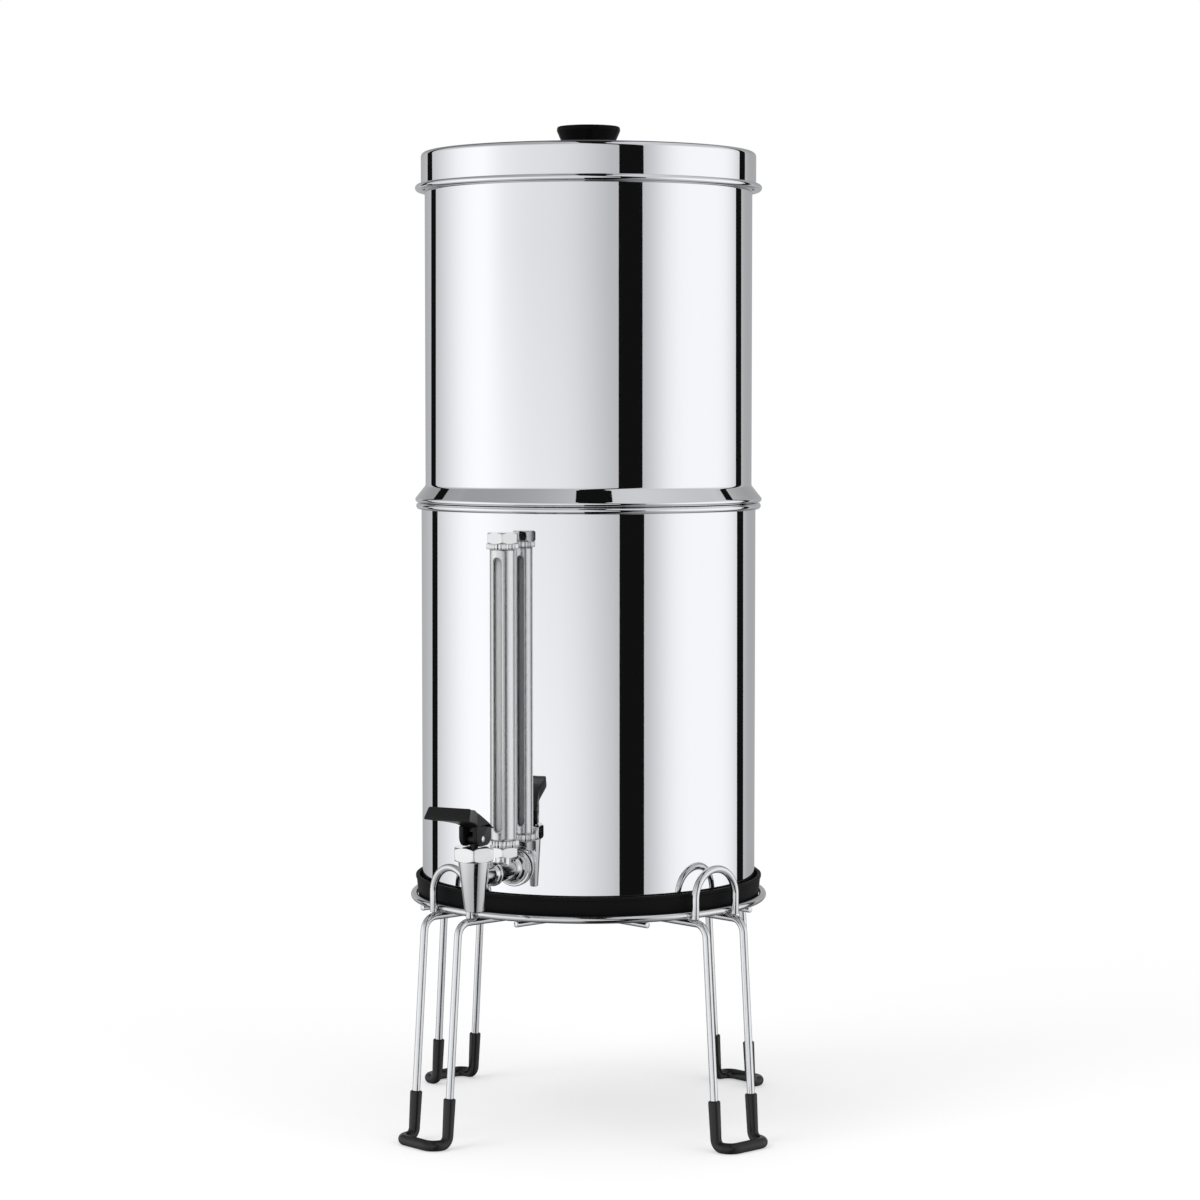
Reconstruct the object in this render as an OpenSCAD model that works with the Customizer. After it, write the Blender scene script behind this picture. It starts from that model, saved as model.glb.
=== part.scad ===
// Gravity water filter: two stacked steel chambers, a cam lever tap with a sight gauge, and a wire stand.
// Millimetres, +Z up, the tap faces -Y, and the origin is on the floor under the middle of the footprint.

/* [Stand] */
// Height of the wires that carry the vessel
stand_h = 147; // [120:1:220]
// Turn of the stand about the vessel, 0 puts the tap midway between two legs
stand_turn = 22.7; // [0:0.1:40]
// Gap between the foot of the band and the ring
ring_gap = 0.6; // [0.5:0.1:3.1]
// Thickness of the ring's wire
ring_wire = 4.8; // [4:0.1:5.2]
// Thickness of the leg wires and of the retaining loops
leg_wire = 5; // [4:0.1:6]
// Thickness of the bars under the ring
bar_wire = 4; // [3:0.1:5]
// Distance of each bar from the middle of the stand
bar_offset = 46.5; // [36:0.5:60]
// How far the bars stop short of the middle of the ring's wire, negative where they stick out
bar_short = 0.5; // [-4:0.5:1.5]
// Distance between the two wires of one leg
leg_gap = 33.5; // [28:0.5:40]
// Outward lean of the legs in degrees
leg_lean = 4; // [1:0.5:6]
// Bend radius where a leg turns down outside the ring
leg_bend_r = 9; // [7:0.5:11]
// Bend radius where a leg turns out along the floor
foot_bend_r = 5.5; // [5:0.5:9]
// Corner radius of the foot's loop
foot_corner_r = 7; // [6:0.5:10]
// Outer diameter of the black foot sleeves
sleeve_d = 7.2; // [6.8:0.1:9]
// Length of a sleeve above the foot's bend
sleeve_up = 24.3; // [12:0.1:40]
// Depth of the flat worn under each foot
foot_flat = 0.5; // [0.3:0.1:0.7]
// Height of the retaining loops above the carrying wires
loop_h = 33.5; // [30:0.5:50]
// Distance between the two wires of one retaining loop
loop_gap = 35.8; // [30:0.1:42]

/* [Chambers] */
// Outer radius of the lower chamber
lower_r = 111; // [106:0.5:116]
// Height of the lower chamber with its rolled rim
lower_h = 261.7; // [255:0.1:290]
// How far the upper chamber's wall stands inside the lower one's
upper_inset = 2.7; // [1.6:0.1:5]
// Height of the upper chamber above the rim that it rests on
upper_h = 229; // [200:1:260]
// Depth to which the upper chamber drops into the lower one
upper_drop = 22; // [15:1:30]
// Sheet thickness of the chambers and of the lid
sheet = 1; // [0.8:0.1:1.2]
// Corner radius at the foot of each chamber
base_corner = 5; // [3:0.5:7]
// Rise of the stiffening panel in the lower base
panel_rise = 3; // [2.5:0.5:5]
// Gap between the foot of the panel and the band's floor
panel_gap = 4; // [0:0.5:14]
// Radius of the rolled bead round the lower rim
rim_bead_r = 2.2; // [1.8:0.1:2.4]
// Reach of the resting flare beyond the lower rim
flare_over = 0.6; // [0.1:0.1:1.4]
// Height of the resting flare
flare_h = 11; // [9:0.5:14]
// Width of the folded hem round the mouth of the upper chamber
hem_w = 1.8; // [1.4:0.1:2.4]
// Depth of the folded hem
hem_h = 6; // [4:0.5:10]

/* [Base band] */
// Gap between the lower chamber and the foot of the band's wall
band_gap = 0.6; // [0.3:0.1:1.2]
// How much wider the band is at its top than at its foot
band_flare = 1.5; // [1:0.1:2.3]
// Height of the band
band_h = 16.2; // [14:0.1:24]
// Thickness of the band's wall
band_wall = 1.9; // [1.6:0.1:2.1]
// Thickness of the band's floor under the chamber
band_floor = 2.2; // [1.5:0.1:3]
// Width of the band's floor
band_floor_w = 16.5; // [13.5:0.5:18]

/* [Lid] */
// Gap between the upper chamber's wall and the lid's skirt
lid_gap = 1.5; // [1:0.1:2.7]
// Height of the lid's skirt below its top
lid_h = 25.6; // [20:0.1:34]
// Radius of the lid's shoulder
lid_shoulder = 3; // [2:0.1:8]
// Radius of the rolled bead round the skirt
lid_bead_r = 2.3; // [1.8:0.1:2.6]
// Rise of the lid's top towards the knob
lid_crown = 0.8; // [0.4:0.1:2]
// Height of the knob
knob_h = 17; // [14:0.5:24]
// Radius of the knob's top
knob_r = 21; // [18:0.5:26]
// Radius of the knob's foot
knob_foot_r = 15.2; // [12:0.1:17]

/* [Filters] */
// Radius of a filter element
filter_r = 29; // [24:1:31]
// Height of a filter element with its domed top
filter_h = 165; // [120:1:180]
// Distance of each filter from the middle
filter_offset = 42; // [38:1:50]
// Radius of the filter's base cap
filter_cap_r = 31; // [27:1:33]
// Height of the filter's base cap
filter_cap_h = 14; // [10:1:20]
// Radius of the filter's threaded stem
filter_stem_r = 4.9; // [4:0.1:5.2]
// Length of the threaded stem below the cap
filter_stem_h = 28; // [22:1:34]
// Radius of the water way in the element
filter_core_r = 8; // [5:1:10]
// Radius of the water way in the threaded stem
filter_bore = 2.5; // [1.5:0.1:3]

/* [Tap] */
// Height of the tap's shank above the carrying wires
tap_up = 34; // [32.5:0.5:40]
// Distance of the tap's axis from the chamber wall
tap_reach = 57.5; // [56:0.5:66]
// Radius of the tap's shank
shank_r = 4.5; // [4:0.1:5]
// Radius of the shank's water way
shank_bore = 2.8; // [2:0.1:3.2]
// Length of the shank inside the chamber
shank_in = 14; // [12:1:20]
// Top radius of the tap's tapered body
tap_top_r = 10; // [9.4:0.1:11]
// Bottom radius of the tap's tapered body
tap_foot_r = 6; // [5.3:0.1:7.5]
// Height of the tapered body above the shank's axis
tap_above = 11.8; // [9.5:0.1:13]
// Height of the tapered body below the shank's axis
tap_below = 20; // [17:1:24]
// Radius of the spout's water way
spout_bore = 3.6; // [3:0.1:4]
// Width across the flats of the tap's hexagonal bonnet
bonnet_af = 24.1; // [20.5:0.1:26]
// Height of the bonnet's hexagon
bonnet_h = 8.8; // [7.5:0.1:11]
// Radius of the valve stem
stem_r = 2.5; // [2:0.1:2.9]
// Radius of the seat cup on the stem
cup_r = 4.9; // [4.5:0.1:4.9]

/* [Lever] */
// Height of the lever's pin above the bonnet
pin_up = 4.9; // [4.8:0.1:7]
// Radius of the lever's pin
pin_r = 1.25; // [1:0.05:1.5]
// Width across the lever's fork
fork_w = 12.6; // [12:0.1:14]
// Thickness of each ear of the fork
ear_t = 3; // [2.4:0.1:3.2]
// Reach of the ears in front of the pin
ear_front = 8.7; // [8:0.1:12]
// Reach of the ears behind the pin
ear_back = 11.7; // [8:0.1:13]
// Corner radius at the foot of each ear
ear_corner = 6.3; // [5:0.1:7]
// Clearance between the ears and the bonnet
ear_gap = 0.4; // [0.3:0.05:0.6]
// Reach of the lever's blade in front of the pin
blade_reach = 37.8; // [36:0.1:44]
// Width of the blade's front edge
blade_w = 31; // [24:0.1:36]
// Height of the blade's front edge above the pin
blade_up = 23; // [21:0.1:26]
// Thickness of the blade's front edge
blade_t = 7.5; // [5:0.1:9]

/* [Sight gauge] */
// Distance of the gauge's axis from the chamber wall
gauge_reach = 17.2; // [16:0.1:20]
// Height of the gauge's sleeve
sleeve_h = 184.4; // [150:0.1:200]
// Outer diameter of the gauge's sleeve
gauge_d = 16.3; // [15.6:0.1:18]
// Wall of the gauge's sleeve
gauge_wall = 1.2; // [1:0.1:1.3]
// Width of the sleeve's windows
window_w = 6.5; // [4:0.1:8]
// Margin of the sleeve above and below its windows
window_margin = 5.5; // [5:0.1:12]
// Outer diameter of the glass tube
glass_d = 11; // [10:0.1:11]
// Wall of the glass tube
glass_wall = 1.3; // [1:0.1:2]
// Outer diameter of the knurled rings
knurl_d = 20.4; // [18.5:0.1:22]
// Width across the flats of the gauge's nut and cap
gauge_af = 18.7; // [17:0.1:20]
// Height of the gauge's cap
cap_h = 6.9; // [6:0.1:9]

/* [Hidden] */
$fn = 96;

steel = [0.86, 0.87, 0.88];
dull_steel = [0.72, 0.73, 0.74];
black = [0.05, 0.05, 0.055];
silicone = [0.85, 0.86, 0.84];
clear = [0.8, 0.9, 0.95, 0.4];
carbon = [0.12, 0.12, 0.13];

// Clearances: bodies that part, welded wires, turning and seated fits, the sliding stem and screwed fits
rest_gap = 0.3;
weld_gap = 0.1;
fit_gap = 0.05;
slide_gap = 0.08;
screw_gap = 0.1;
// How a wire's straights meet its bends, and the shortest straight between two bends
wire_lap = 0.1;
wire_step = 0.02;
shortest = 0.2;

// Step of a rolled bead outside the sheet's inner face, and the gap round a stem in the sheet
bead_step = 0.1;
hole_gap = 0.6;

band_foot_r = lower_r + band_gap + band_wall;
band_top_r = band_foot_r + band_flare;
band_inner_r = band_foot_r - band_floor_w;
panel_r = band_inner_r - panel_rise - panel_gap;
ring_r = band_foot_r + ring_gap + ring_wire / 2;
bar_end_r = ring_r - bar_short;
leg_r = leg_wire / 2;
bar_r = bar_wire / 2;
sleeve_r = sleeve_d / 2;
loop_r = loop_gap / 2;
tail_z = stand_h - leg_r;
foot_z = sleeve_r - foot_flat;
ring_z = stand_h + weld_gap + ring_wire / 2;
loop_u = sqrt(pow(ring_r + ring_wire / 2 + leg_r + weld_gap, 2) - pow(loop_r, 2));
leg_turn = 90 - leg_lean;
tail_start = bar_offset + bar_r + weld_gap;
tail_end = loop_u;
tail_l = tail_end - tail_start;
leg_l = (tail_z - foot_z - (leg_bend_r + foot_bend_r) * (1 - cos(leg_turn))) / cos(leg_lean);
foot_u = tail_end + (leg_bend_r + foot_bend_r) * sin(leg_turn) + leg_l * sin(leg_lean) + shortest;
cross_l = leg_gap - 2 * foot_corner_r;

band_z = stand_h + rest_gap;
base_z = band_z + band_floor;
rim_z = base_z + lower_h;
upper_z = rim_z - upper_drop;
flare_z = rim_z + rest_gap;
mouth_z = flare_z + upper_h;
// The round inside the lid's shoulder clears the round of the mouth's hem, and lifts the lid where it is large
lid_round = max(lid_shoulder - sheet, rest_gap + hem_w / 2);
lid_room = lid_round - rest_gap - hem_w / 2;
lid_reach = max(0, lid_round - lid_gap - hem_w / 2);
lid_rise = lid_room - sqrt(pow(lid_room, 2) - pow(lid_reach, 2));
lid_z = mouth_z + rest_gap + sheet + lid_rise;
lower_in = lower_r - sheet;
upper_r = lower_r - upper_inset;
lid_r = upper_r + lid_gap + sheet;
rim_bead_at = lower_in + rim_bead_r + bead_step;
lid_bead_at = lid_r - sheet + lid_bead_r + 3 * bead_step;
flare_reach = rim_bead_at + rim_bead_r + flare_over - upper_r;
flare_lip = 1.8;
washer_h = 2;
washer_w = 5.1;
nut_h = 8;
nut_wall = 3.6;
wing_reach = 6.5;
wing_t = 3;
wing_h = 6;
filter_z = upper_z + sheet + washer_h;

tap_z = stand_h + tap_up;
tap_y = lower_r + tap_reach;
bonnet_z = tap_z + tap_above;
bonnet_top = bonnet_z + bonnet_h;
pin_z = bonnet_top + pin_up;
body_floor = tap_z - 10;
ledge_z = tap_z + 4.5;
cup_h = 4;
cavity_r = cup_r + rest_gap;
thread_r = tap_top_r - 2.55;
spring_r = 3.7;
spring_wire = 0.8;
spring_turns = 4;
spring_cavity_r = 4.9;
spring_top = bonnet_top - 3.8;
diaphragm_t = 0.5;
stem_collar_z = ledge_z + 1.2;
stem_collar_h = 1.2;
spring_base = stem_collar_z + stem_collar_h;
eye_r = pin_r + 2.8;
eye_w = fork_w - 2 * ear_t - 2 * 0.35;

gauge_y = lower_r + gauge_reach;
gauge_r = gauge_d / 2;
glass_r = glass_d / 2;
gasket_r = 11.8;
gasket_t = 1;
wall_washer_r = 12;
wall_washer_t = 2.1;
block_in = lower_r + gasket_t + wall_washer_t + 2 * fit_gap;
block_out = gauge_y + 13.6;
block_r = 6.4;
flange_r = 10.4;
collar_r = 5.5;
ring_edge_r = 7.75;
cone_r = tap_foot_r + (tap_top_r - tap_foot_r) * (tap_below + collar_r) / (tap_above + tap_below);
collar_l = tap_y - cone_r - rest_gap - block_out - fit_gap;
neck_r = 5;
neck_top = tap_z + 13.4;
nut_z = tap_z + 9.4;
nut_top = nut_z + 6.1;
socket_h = 4.3;
sleeve_z = nut_top + socket_h;
sleeve_top = sleeve_z + sleeve_h;
collar_top = sleeve_top + 3.6;
pocket_r = glass_r + 0.2;
seal_h = 1.5;
glass_z = nut_top + 1.2 + seal_h;
glass_top = collar_top - 1.6;
hex_turn = -5;

// The vessel's axis stands behind the middle of the footprint, because the lever reaches forward
function foot_reach(turn) = foot_u * cos(turn) + (leg_gap / 2 - foot_corner_r) * abs(sin(turn))
    + foot_corner_r + sleeve_r;
back_reach = max([for (k = [0:3]) foot_reach(90 * k + 45 - stand_turn)]);
front_reach = tap_y + blade_reach;
axis_y = (front_reach - back_reach) / 2;

module on_axis() translate([0, axis_y, 0]) children();
module at_front(out, up) translate([0, -out, up]) children();
// Stands a shape on the tap's horizontal axis, its Z pointing away from the chamber
module along_shank(out) at_front(out, tap_z) rotate([90, 0, 0]) children();

// Points round an arc
function arc(x, y, r, from, to, steps) =
    [for (i = [0:steps]) let (a = from + (to - from) * i / steps) [x + r * cos(a), y + r * sin(a)]];
function unit(v) = v / norm(v);
function right_of(a, b) = let (d = unit(b - a)) [d[1], -d[0]];
// A path moved sideways by d, positive to the right of its direction, with mitred corners
function beside(path, d) = let (last = len(path) - 1)
    [for (i = [0:last]) let (
        before = right_of(path[max(i - 1, 0)], path[max(i, 1)]),
        after = right_of(path[min(i, last - 1)], path[min(i + 1, last)])
    ) path[i] + d * (before + after) / (1 + before * after)];
function reversed(path) = [for (i = [len(path) - 1:-1:0]) path[i]];
// A sheet whose outer face follows the path, which has the outside on its right
module sheet_profile(path, thickness) polygon(concat(path, reversed(beside(path, -thickness))));

module tube(outer, inner, height) difference() {
    cylinder(r = outer, h = height);
    translate([0, 0, -1]) cylinder(r = inner, h = height + 2);
}

// A hexagonal prism with its corners turned down at both ends
module chamfered_hex(across, height, chamfer) intersection() {
    cylinder(d = across / cos(30), h = height, $fn = 6);
    rotate_extrude() polygon([
        [0, 0], [across / 2 + 0.1, 0], [across / 2 + 0.1 + 1.5 * chamfer, chamfer],
        [across / 2 + 0.1 + 1.5 * chamfer, height - chamfer], [across / 2 + 0.1, height], [0, height]
    ]);
}

// A ring with upright teeth round its edge
module knurled_ring(diameter, height, teeth) linear_extrude(height) polygon(
    [for (i = [0:2 * teeth - 1]) let (a = 180 * i / teeth, r = diameter / 2 - (i % 2) * 0.45)
        [r * cos(a), r * sin(a)]]
);

// A bent wire: each step is [straight length, bend radius, bend angle, roll before the bend].
// The straights are a hair thinner than the bends and lap into them, so that all of it is one solid.
module wire(steps, r, i = 0) if (i < len(steps)) {
    straight = steps[i][0];
    bend = steps[i][1];
    angle = steps[i][2];
    lap_before = i > 0 ? wire_lap : 0;
    lap_after = angle > 0 ? wire_lap : 0;
    translate([0, 0, -lap_before]) cylinder(r = r - wire_step, h = lap_before + straight + lap_after, $fn = 24);
    if (angle > 0) translate([0, 0, straight]) rotate([0, 0, steps[i][3]]) {
        translate([bend, 0, 0]) rotate([90, 0, 180]) rotate_extrude(angle = angle) translate([bend, 0])
            circle(r = r, $fn = 24);
        translate([bend * (1 - cos(angle)), 0, bend * sin(angle)]) rotate([0, angle, 0])
            wire(steps, r, i + 1);
    }
}

// Leg k's own frame: X points outwards along the leg, Y runs round the ring
module at_leg(k) on_axis() rotate([0, 0, stand_turn - 135 + 90 * k]) children();

// The loop of a foot: down one wire, out, across and back, with each upright reaching up by its length
function foot_steps(upright) = [
    [upright, foot_bend_r, leg_turn, 180],
    [shortest, foot_corner_r, 90, -90],
    [cross_l, foot_corner_r, 90, 0],
    [shortest, foot_bend_r, leg_turn, 90],
    [upright, 0, 0, 0]
];
module foot_wire(upright, r)
    translate([
        foot_u - shortest - foot_bend_r * sin(leg_turn) - upright * sin(leg_lean), -leg_gap / 2,
        foot_z + foot_bend_r * (1 - cos(leg_turn)) + upright * cos(leg_lean)
    ]) rotate([0, 180 - leg_lean, 0]) wire(foot_steps(upright), r);

module stand_ring() color(steel) on_axis() translate([0, 0, ring_z]) rotate_extrude()
    translate([ring_r, 0]) circle(d = ring_wire);

module stand_grid() color(steel) {
    half = sqrt(pow(bar_end_r, 2) - pow(bar_offset, 2));
    on_axis() rotate([0, 0, stand_turn]) for (turn = [45, 135], side = [-1, 1])
        rotate([0, 0, turn]) translate([-half, side * bar_offset, stand_h - bar_r]) rotate([0, 90, 0])
            cylinder(r = bar_r, h = 2 * half);
}

module leg(k) color(steel) at_leg(k) {
    translate([tail_start, -leg_gap / 2, tail_z]) rotate([0, 90, 0])
        wire(concat(
            [[tail_l, leg_bend_r, leg_turn, 0]],
            [for (i = [0:3]) foot_steps(leg_l)[i]],
            [[leg_l, leg_bend_r, leg_turn, 180], [tail_l, 0, 0, 0]]
        ), leg_r);
}

module retaining_loop(k) color(steel) at_leg(k) {
    upright = loop_h - leg_r - loop_r - weld_gap;
    translate([loop_u, -loop_r, stand_h + weld_gap]) rotate([0, 0, 90])
        wire([[upright, loop_r, 180, 0], [upright, 0, 0, 0]], leg_r);
}

module foot_sleeve(k) color(black) at_leg(k) difference() {
    foot_wire(sleeve_up, sleeve_r);
    foot_wire(sleeve_up + 1, leg_r + fit_gap);
    translate([ring_r, -leg_gap, -sleeve_d]) cube([2 * leg_gap, 2 * leg_gap, sleeve_d]);
}

module lower_chamber() color(steel) on_axis() difference() {
    rotate_extrude() {
        sheet_profile(concat(
            [[0, base_z + panel_rise], [panel_r, base_z + panel_rise], [panel_r + panel_rise, base_z]],
            arc(lower_r - base_corner, base_z + base_corner, base_corner, -90, 0, 6),
            [[lower_r, rim_z - rim_bead_r]]
        ), sheet);
        translate([rim_bead_at, rim_z - rim_bead_r]) circle(r = rim_bead_r, $fn = 32);
    }
    along_shank(lower_in - 5) cylinder(r = shank_r + screw_gap, h = 10);
}

module base_band() color(black) on_axis() rotate_extrude() polygon([
    [band_inner_r, band_z], [band_foot_r, band_z], [band_top_r, band_z + band_h - 2.4],
    [band_top_r + 0.5, band_z + band_h - 2], [band_top_r + 0.5, band_z + band_h - 0.5],
    [band_top_r, band_z + band_h], [band_top_r - band_wall, band_z + band_h],
    [band_foot_r - band_wall, band_z + band_floor + 1.6], [band_foot_r - band_wall - 1.6, base_z],
    [band_inner_r, base_z]
]);

module tap_body() color(steel) on_axis() difference() {
    union() {
        at_front(tap_y, tap_z - tap_below)
            cylinder(r1 = tap_foot_r, r2 = tap_top_r, h = tap_above + tap_below);
        along_shank(lower_in - shank_in) cylinder(r = shank_r, h = tap_reach + sheet + shank_in);
    }
    at_front(tap_y, ledge_z) cylinder(r = thread_r, h = bonnet_z);
    at_front(tap_y, body_floor) cylinder(r = cavity_r, h = ledge_z - body_floor + 1);
    at_front(tap_y, tap_z - tap_below - 1) cylinder(r = spout_bore, h = tap_below);
    along_shank(lower_in - shank_in - 1) cylinder(r = shank_bore, h = tap_reach + sheet + shank_in);
    at_front(gauge_y, tap_z) cylinder(r = 1.5, h = 2 * shank_r);
}

module tap_bonnet() color(steel) on_axis() at_front(tap_y, 0) difference() {
    union() {
        translate([0, 0, bonnet_z]) rotate([0, 0, hex_turn]) chamfered_hex(bonnet_af, bonnet_h, 1.2);
        translate([0, 0, ledge_z + diaphragm_t])
            cylinder(r = thread_r - screw_gap, h = bonnet_z - ledge_z - diaphragm_t + 1);
    }
    translate([0, 0, ledge_z - 1]) cylinder(r = spring_cavity_r, h = spring_top - ledge_z + 1);
    translate([0, 0, spring_top - 1]) cylinder(r = stem_r + slide_gap, h = bonnet_top);
}

module valve_diaphragm() color(silicone) on_axis() at_front(tap_y, ledge_z)
    tube(thread_r - screw_gap, stem_r + 2 * screw_gap, diaphragm_t);

// The wire runs up a helix, and each of its rings is a hexagon in the upright plane through the axis
module tap_spring() color(dull_steel) on_axis() at_front(tap_y, spring_base + spring_wire / 2 + fit_gap) {
    rings = 16 * spring_turns;
    rise = spring_top - spring_base - spring_wire - 2 * fit_gap;
    points = [for (i = [0:rings], j = [0:5]) let (
        a = 360 * spring_turns * i / rings, r = spring_r + spring_wire / 2 * cos(60 * j)
    ) [r * cos(a), r * sin(a), rise * i / rings + spring_wire / 2 * sin(60 * j)]];
    sides = [for (i = [0:rings - 1], j = [0:5]) let (n = (j + 1) % 6)
        each [[6 * i + j, 6 * i + n, 6 * i + 6 + n], [6 * i + j, 6 * i + 6 + n, 6 * i + 6 + j]]];
    polyhedron(points, concat([[5, 4, 3, 2, 1, 0]], sides, [[for (j = [0:5]) 6 * rings + j]]));
}

module outer_gasket() color(black) on_axis() difference() {
    along_shank(lower_in) tube(gasket_r, shank_r + screw_gap, sheet + gasket_t);
    translate([0, 0, tap_z - 20]) cylinder(r = lower_r + fit_gap, h = 40, $fn = 720);
}

module wall_washer() color(steel) on_axis() along_shank(lower_r + gasket_t + fit_gap) difference() {
    union() {
        cylinder(r = wall_washer_r, h = wall_washer_t - 0.5);
        translate([0, 0, wall_washer_t - 0.5])
            cylinder(r1 = wall_washer_r, r2 = wall_washer_r - 0.5, h = 0.5);
    }
    translate([0, 0, -1]) cylinder(r = shank_r + screw_gap, h = wall_washer_t + 2);
}

// A spool with a flange against the washer and a hollow flare down to its barrel
module gauge_block() color(steel) on_axis() difference() {
    union() {
        along_shank(block_in) rotate_extrude() polygon([
            [0, 0], [flange_r, 0], [flange_r, 1.1], [flange_r - 0.4, 1.5], [flange_r - 1, 1.6],
            [block_r + 1.6, 2.6], [block_r + 0.6, 3.8], [block_r, 5.6], [block_r, block_out - block_in],
            [0, block_out - block_in]
        ]);
        at_front(gauge_y, tap_z) cylinder(r = neck_r, h = neck_top - tap_z);
    }
    along_shank(block_in - 1) cylinder(r = shank_r + screw_gap, h = block_out - block_in + 2);
    at_front(gauge_y, tap_z) cylinder(r = 2, h = neck_top);
}

module front_collar() color(steel) on_axis() along_shank(block_out + fit_gap) difference() {
    rotate_extrude() polygon([
        [0, 0], [ring_edge_r - 0.5, 0], [ring_edge_r, 0.6], [ring_edge_r, 1.8], [ring_edge_r - 0.5, 2.4],
        [collar_r + 0.9, 3], [collar_r + 0.3, 4.2], [collar_r, 6], [collar_r, collar_l], [0, collar_l]
    ]);
    translate([0, 0, -1]) cylinder(r = shank_r + screw_gap, h = collar_l + 2);
}

module inner_gasket() color(black) on_axis() intersection() {
    along_shank(lower_in - 3) tube(10, shank_r + screw_gap, 6);
    translate([0, 0, tap_z - 20]) cylinder(r = lower_in - fit_gap, h = 40, $fn = 720);
}

module inner_nut() color(dull_steel) on_axis() along_shank(lower_in - 3 - fit_gap - 6) difference() {
    chamfered_hex(17, 6, 0.9);
    translate([0, 0, -1]) cylinder(r = shank_r + screw_gap, h = 8);
}

module gauge_nut() color(steel) on_axis() at_front(gauge_y, nut_z) difference() {
    rotate([0, 0, hex_turn]) chamfered_hex(gauge_af, nut_top - nut_z, 0.9);
    translate([0, 0, -1]) cylinder(r = neck_r + screw_gap, h = neck_top - nut_z + 1 + screw_gap);
    cylinder(r = 2.5, h = nut_top);
}

module gauge_socket() color(steel) on_axis() at_front(gauge_y, nut_top) difference() {
    union() {
        knurled_ring(knurl_d, socket_h, 30);
        cylinder(r = gauge_r - gauge_wall - fit_gap, h = socket_h + 3.5);
    }
    translate([0, 0, 1.2]) cylinder(r = pocket_r, h = socket_h + 3);
    translate([0, 0, -1]) cylinder(r = 2.5, h = 3);
}

module gauge_seals() color(silicone) on_axis() at_front(gauge_y, 0) {
    translate([0, 0, glass_z - seal_h + fit_gap]) tube(pocket_r - fit_gap, 3.2, seal_h - 2 * fit_gap);
    translate([0, 0, glass_top + fit_gap]) tube(pocket_r - fit_gap, 3.2, seal_h);
}

module gauge_glass() color(clear) on_axis() at_front(gauge_y, glass_z)
    tube(glass_r, glass_r - glass_wall, glass_top - glass_z);

module gauge_sleeve() color(steel) on_axis() at_front(gauge_y, sleeve_z) {
    low = window_margin + window_w / 2;
    difference() {
        tube(gauge_r, gauge_r - gauge_wall, sleeve_h);
        translate([0, gauge_d, low]) rotate([90, 0, 0]) cylinder(d = window_w, h = 2 * gauge_d);
        translate([0, gauge_d, sleeve_h - low]) rotate([90, 0, 0]) cylinder(d = window_w, h = 2 * gauge_d);
        translate([-window_w / 2, -gauge_d, low]) cube([window_w, 2 * gauge_d, sleeve_h - 2 * low]);
    }
}

module gauge_collar() color(steel) on_axis() at_front(gauge_y, sleeve_top) difference() {
    union() {
        knurled_ring(knurl_d, collar_top - sleeve_top, 30);
        translate([0, 0, -3.5]) cylinder(r = gauge_r - gauge_wall - fit_gap, h = 4.5);
    }
    translate([0, 0, -4]) cylinder(r = pocket_r, h = collar_top);
}

module gauge_cap() color(steel) on_axis() at_front(gauge_y, collar_top) difference() {
    rotate([0, 0, hex_turn]) chamfered_hex(gauge_af, cap_h, 0.9);
    translate([0, 0, -1]) cylinder(r = pocket_r, h = 3);
    cylinder(r = 0.9, h = cap_h + 1);
}

module tap_stem() color(dull_steel) on_axis() at_front(tap_y, 0) {
    foot = body_floor + rest_gap + 1.5;
    difference() {
        union() {
            translate([0, 0, foot]) cylinder(r = stem_r, h = pin_z - foot - 1);
            translate([0, 0, stem_collar_z]) cylinder(r = spring_r + 0.2, h = stem_collar_h);
            translate([-eye_w / 2, 0, pin_z]) rotate([0, 90, 0]) cylinder(r = eye_r, h = eye_w);
        }
        translate([-fork_w, 0, pin_z]) rotate([0, 90, 0]) cylinder(r = pin_r + fit_gap, h = 2 * fork_w);
    }
}

module seat_cup() color(silicone) on_axis() at_front(tap_y, body_floor + rest_gap) difference() {
    rotate_extrude() polygon([
        [0, 0], [cup_r - 0.8, 0], [cup_r, 0.8], [cup_r, cup_h - 1], [stem_r + 1, cup_h], [0, cup_h]
    ]);
    translate([0, 0, 1.5 - fit_gap]) cylinder(r = stem_r + fit_gap, h = cup_h);
}

// The ears' foot corners are the cam: they bear on the bonnet as the lever goes down, and lift the stem
module ear_outline() polygon(concat(
    arc(ear_front - ear_corner, ear_corner - pin_up + ear_gap, ear_corner, -90, 0, 8),
    [[ear_front, 9], [3 - ear_back, 9], [-ear_back, 6.6]],
    arc(ear_corner - ear_back, ear_corner - pin_up + ear_gap, ear_corner, -180, -90, 8)
));

// Side view of the blade, front to the right, measured from the pin
module blade_side() polygon([
    [-ear_back, 5.4], [-ear_back - 2, 5.1], [-ear_back - 1.9, 6], [-9.6, 8.9], [-2.7, 12.7], [4.2, 16.3],
    [9.6, blade_up - 4.5], [14.5, blade_up - 3.1], [20.5, blade_up - 2.2], [28.5, blade_up - 1.1],
    [blade_reach - 5.6, blade_up], [blade_reach - 4.6, blade_up - 0.5],
    [blade_reach, blade_up - blade_t + 0.9], [blade_reach - 0.9, blade_up - blade_t],
    [21.5, 12.7], [ear_front + 1.5, 10], [ear_front, 9.2], [ear_front, 7.5], [0.8 - ear_back, 6.8]
]);

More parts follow.
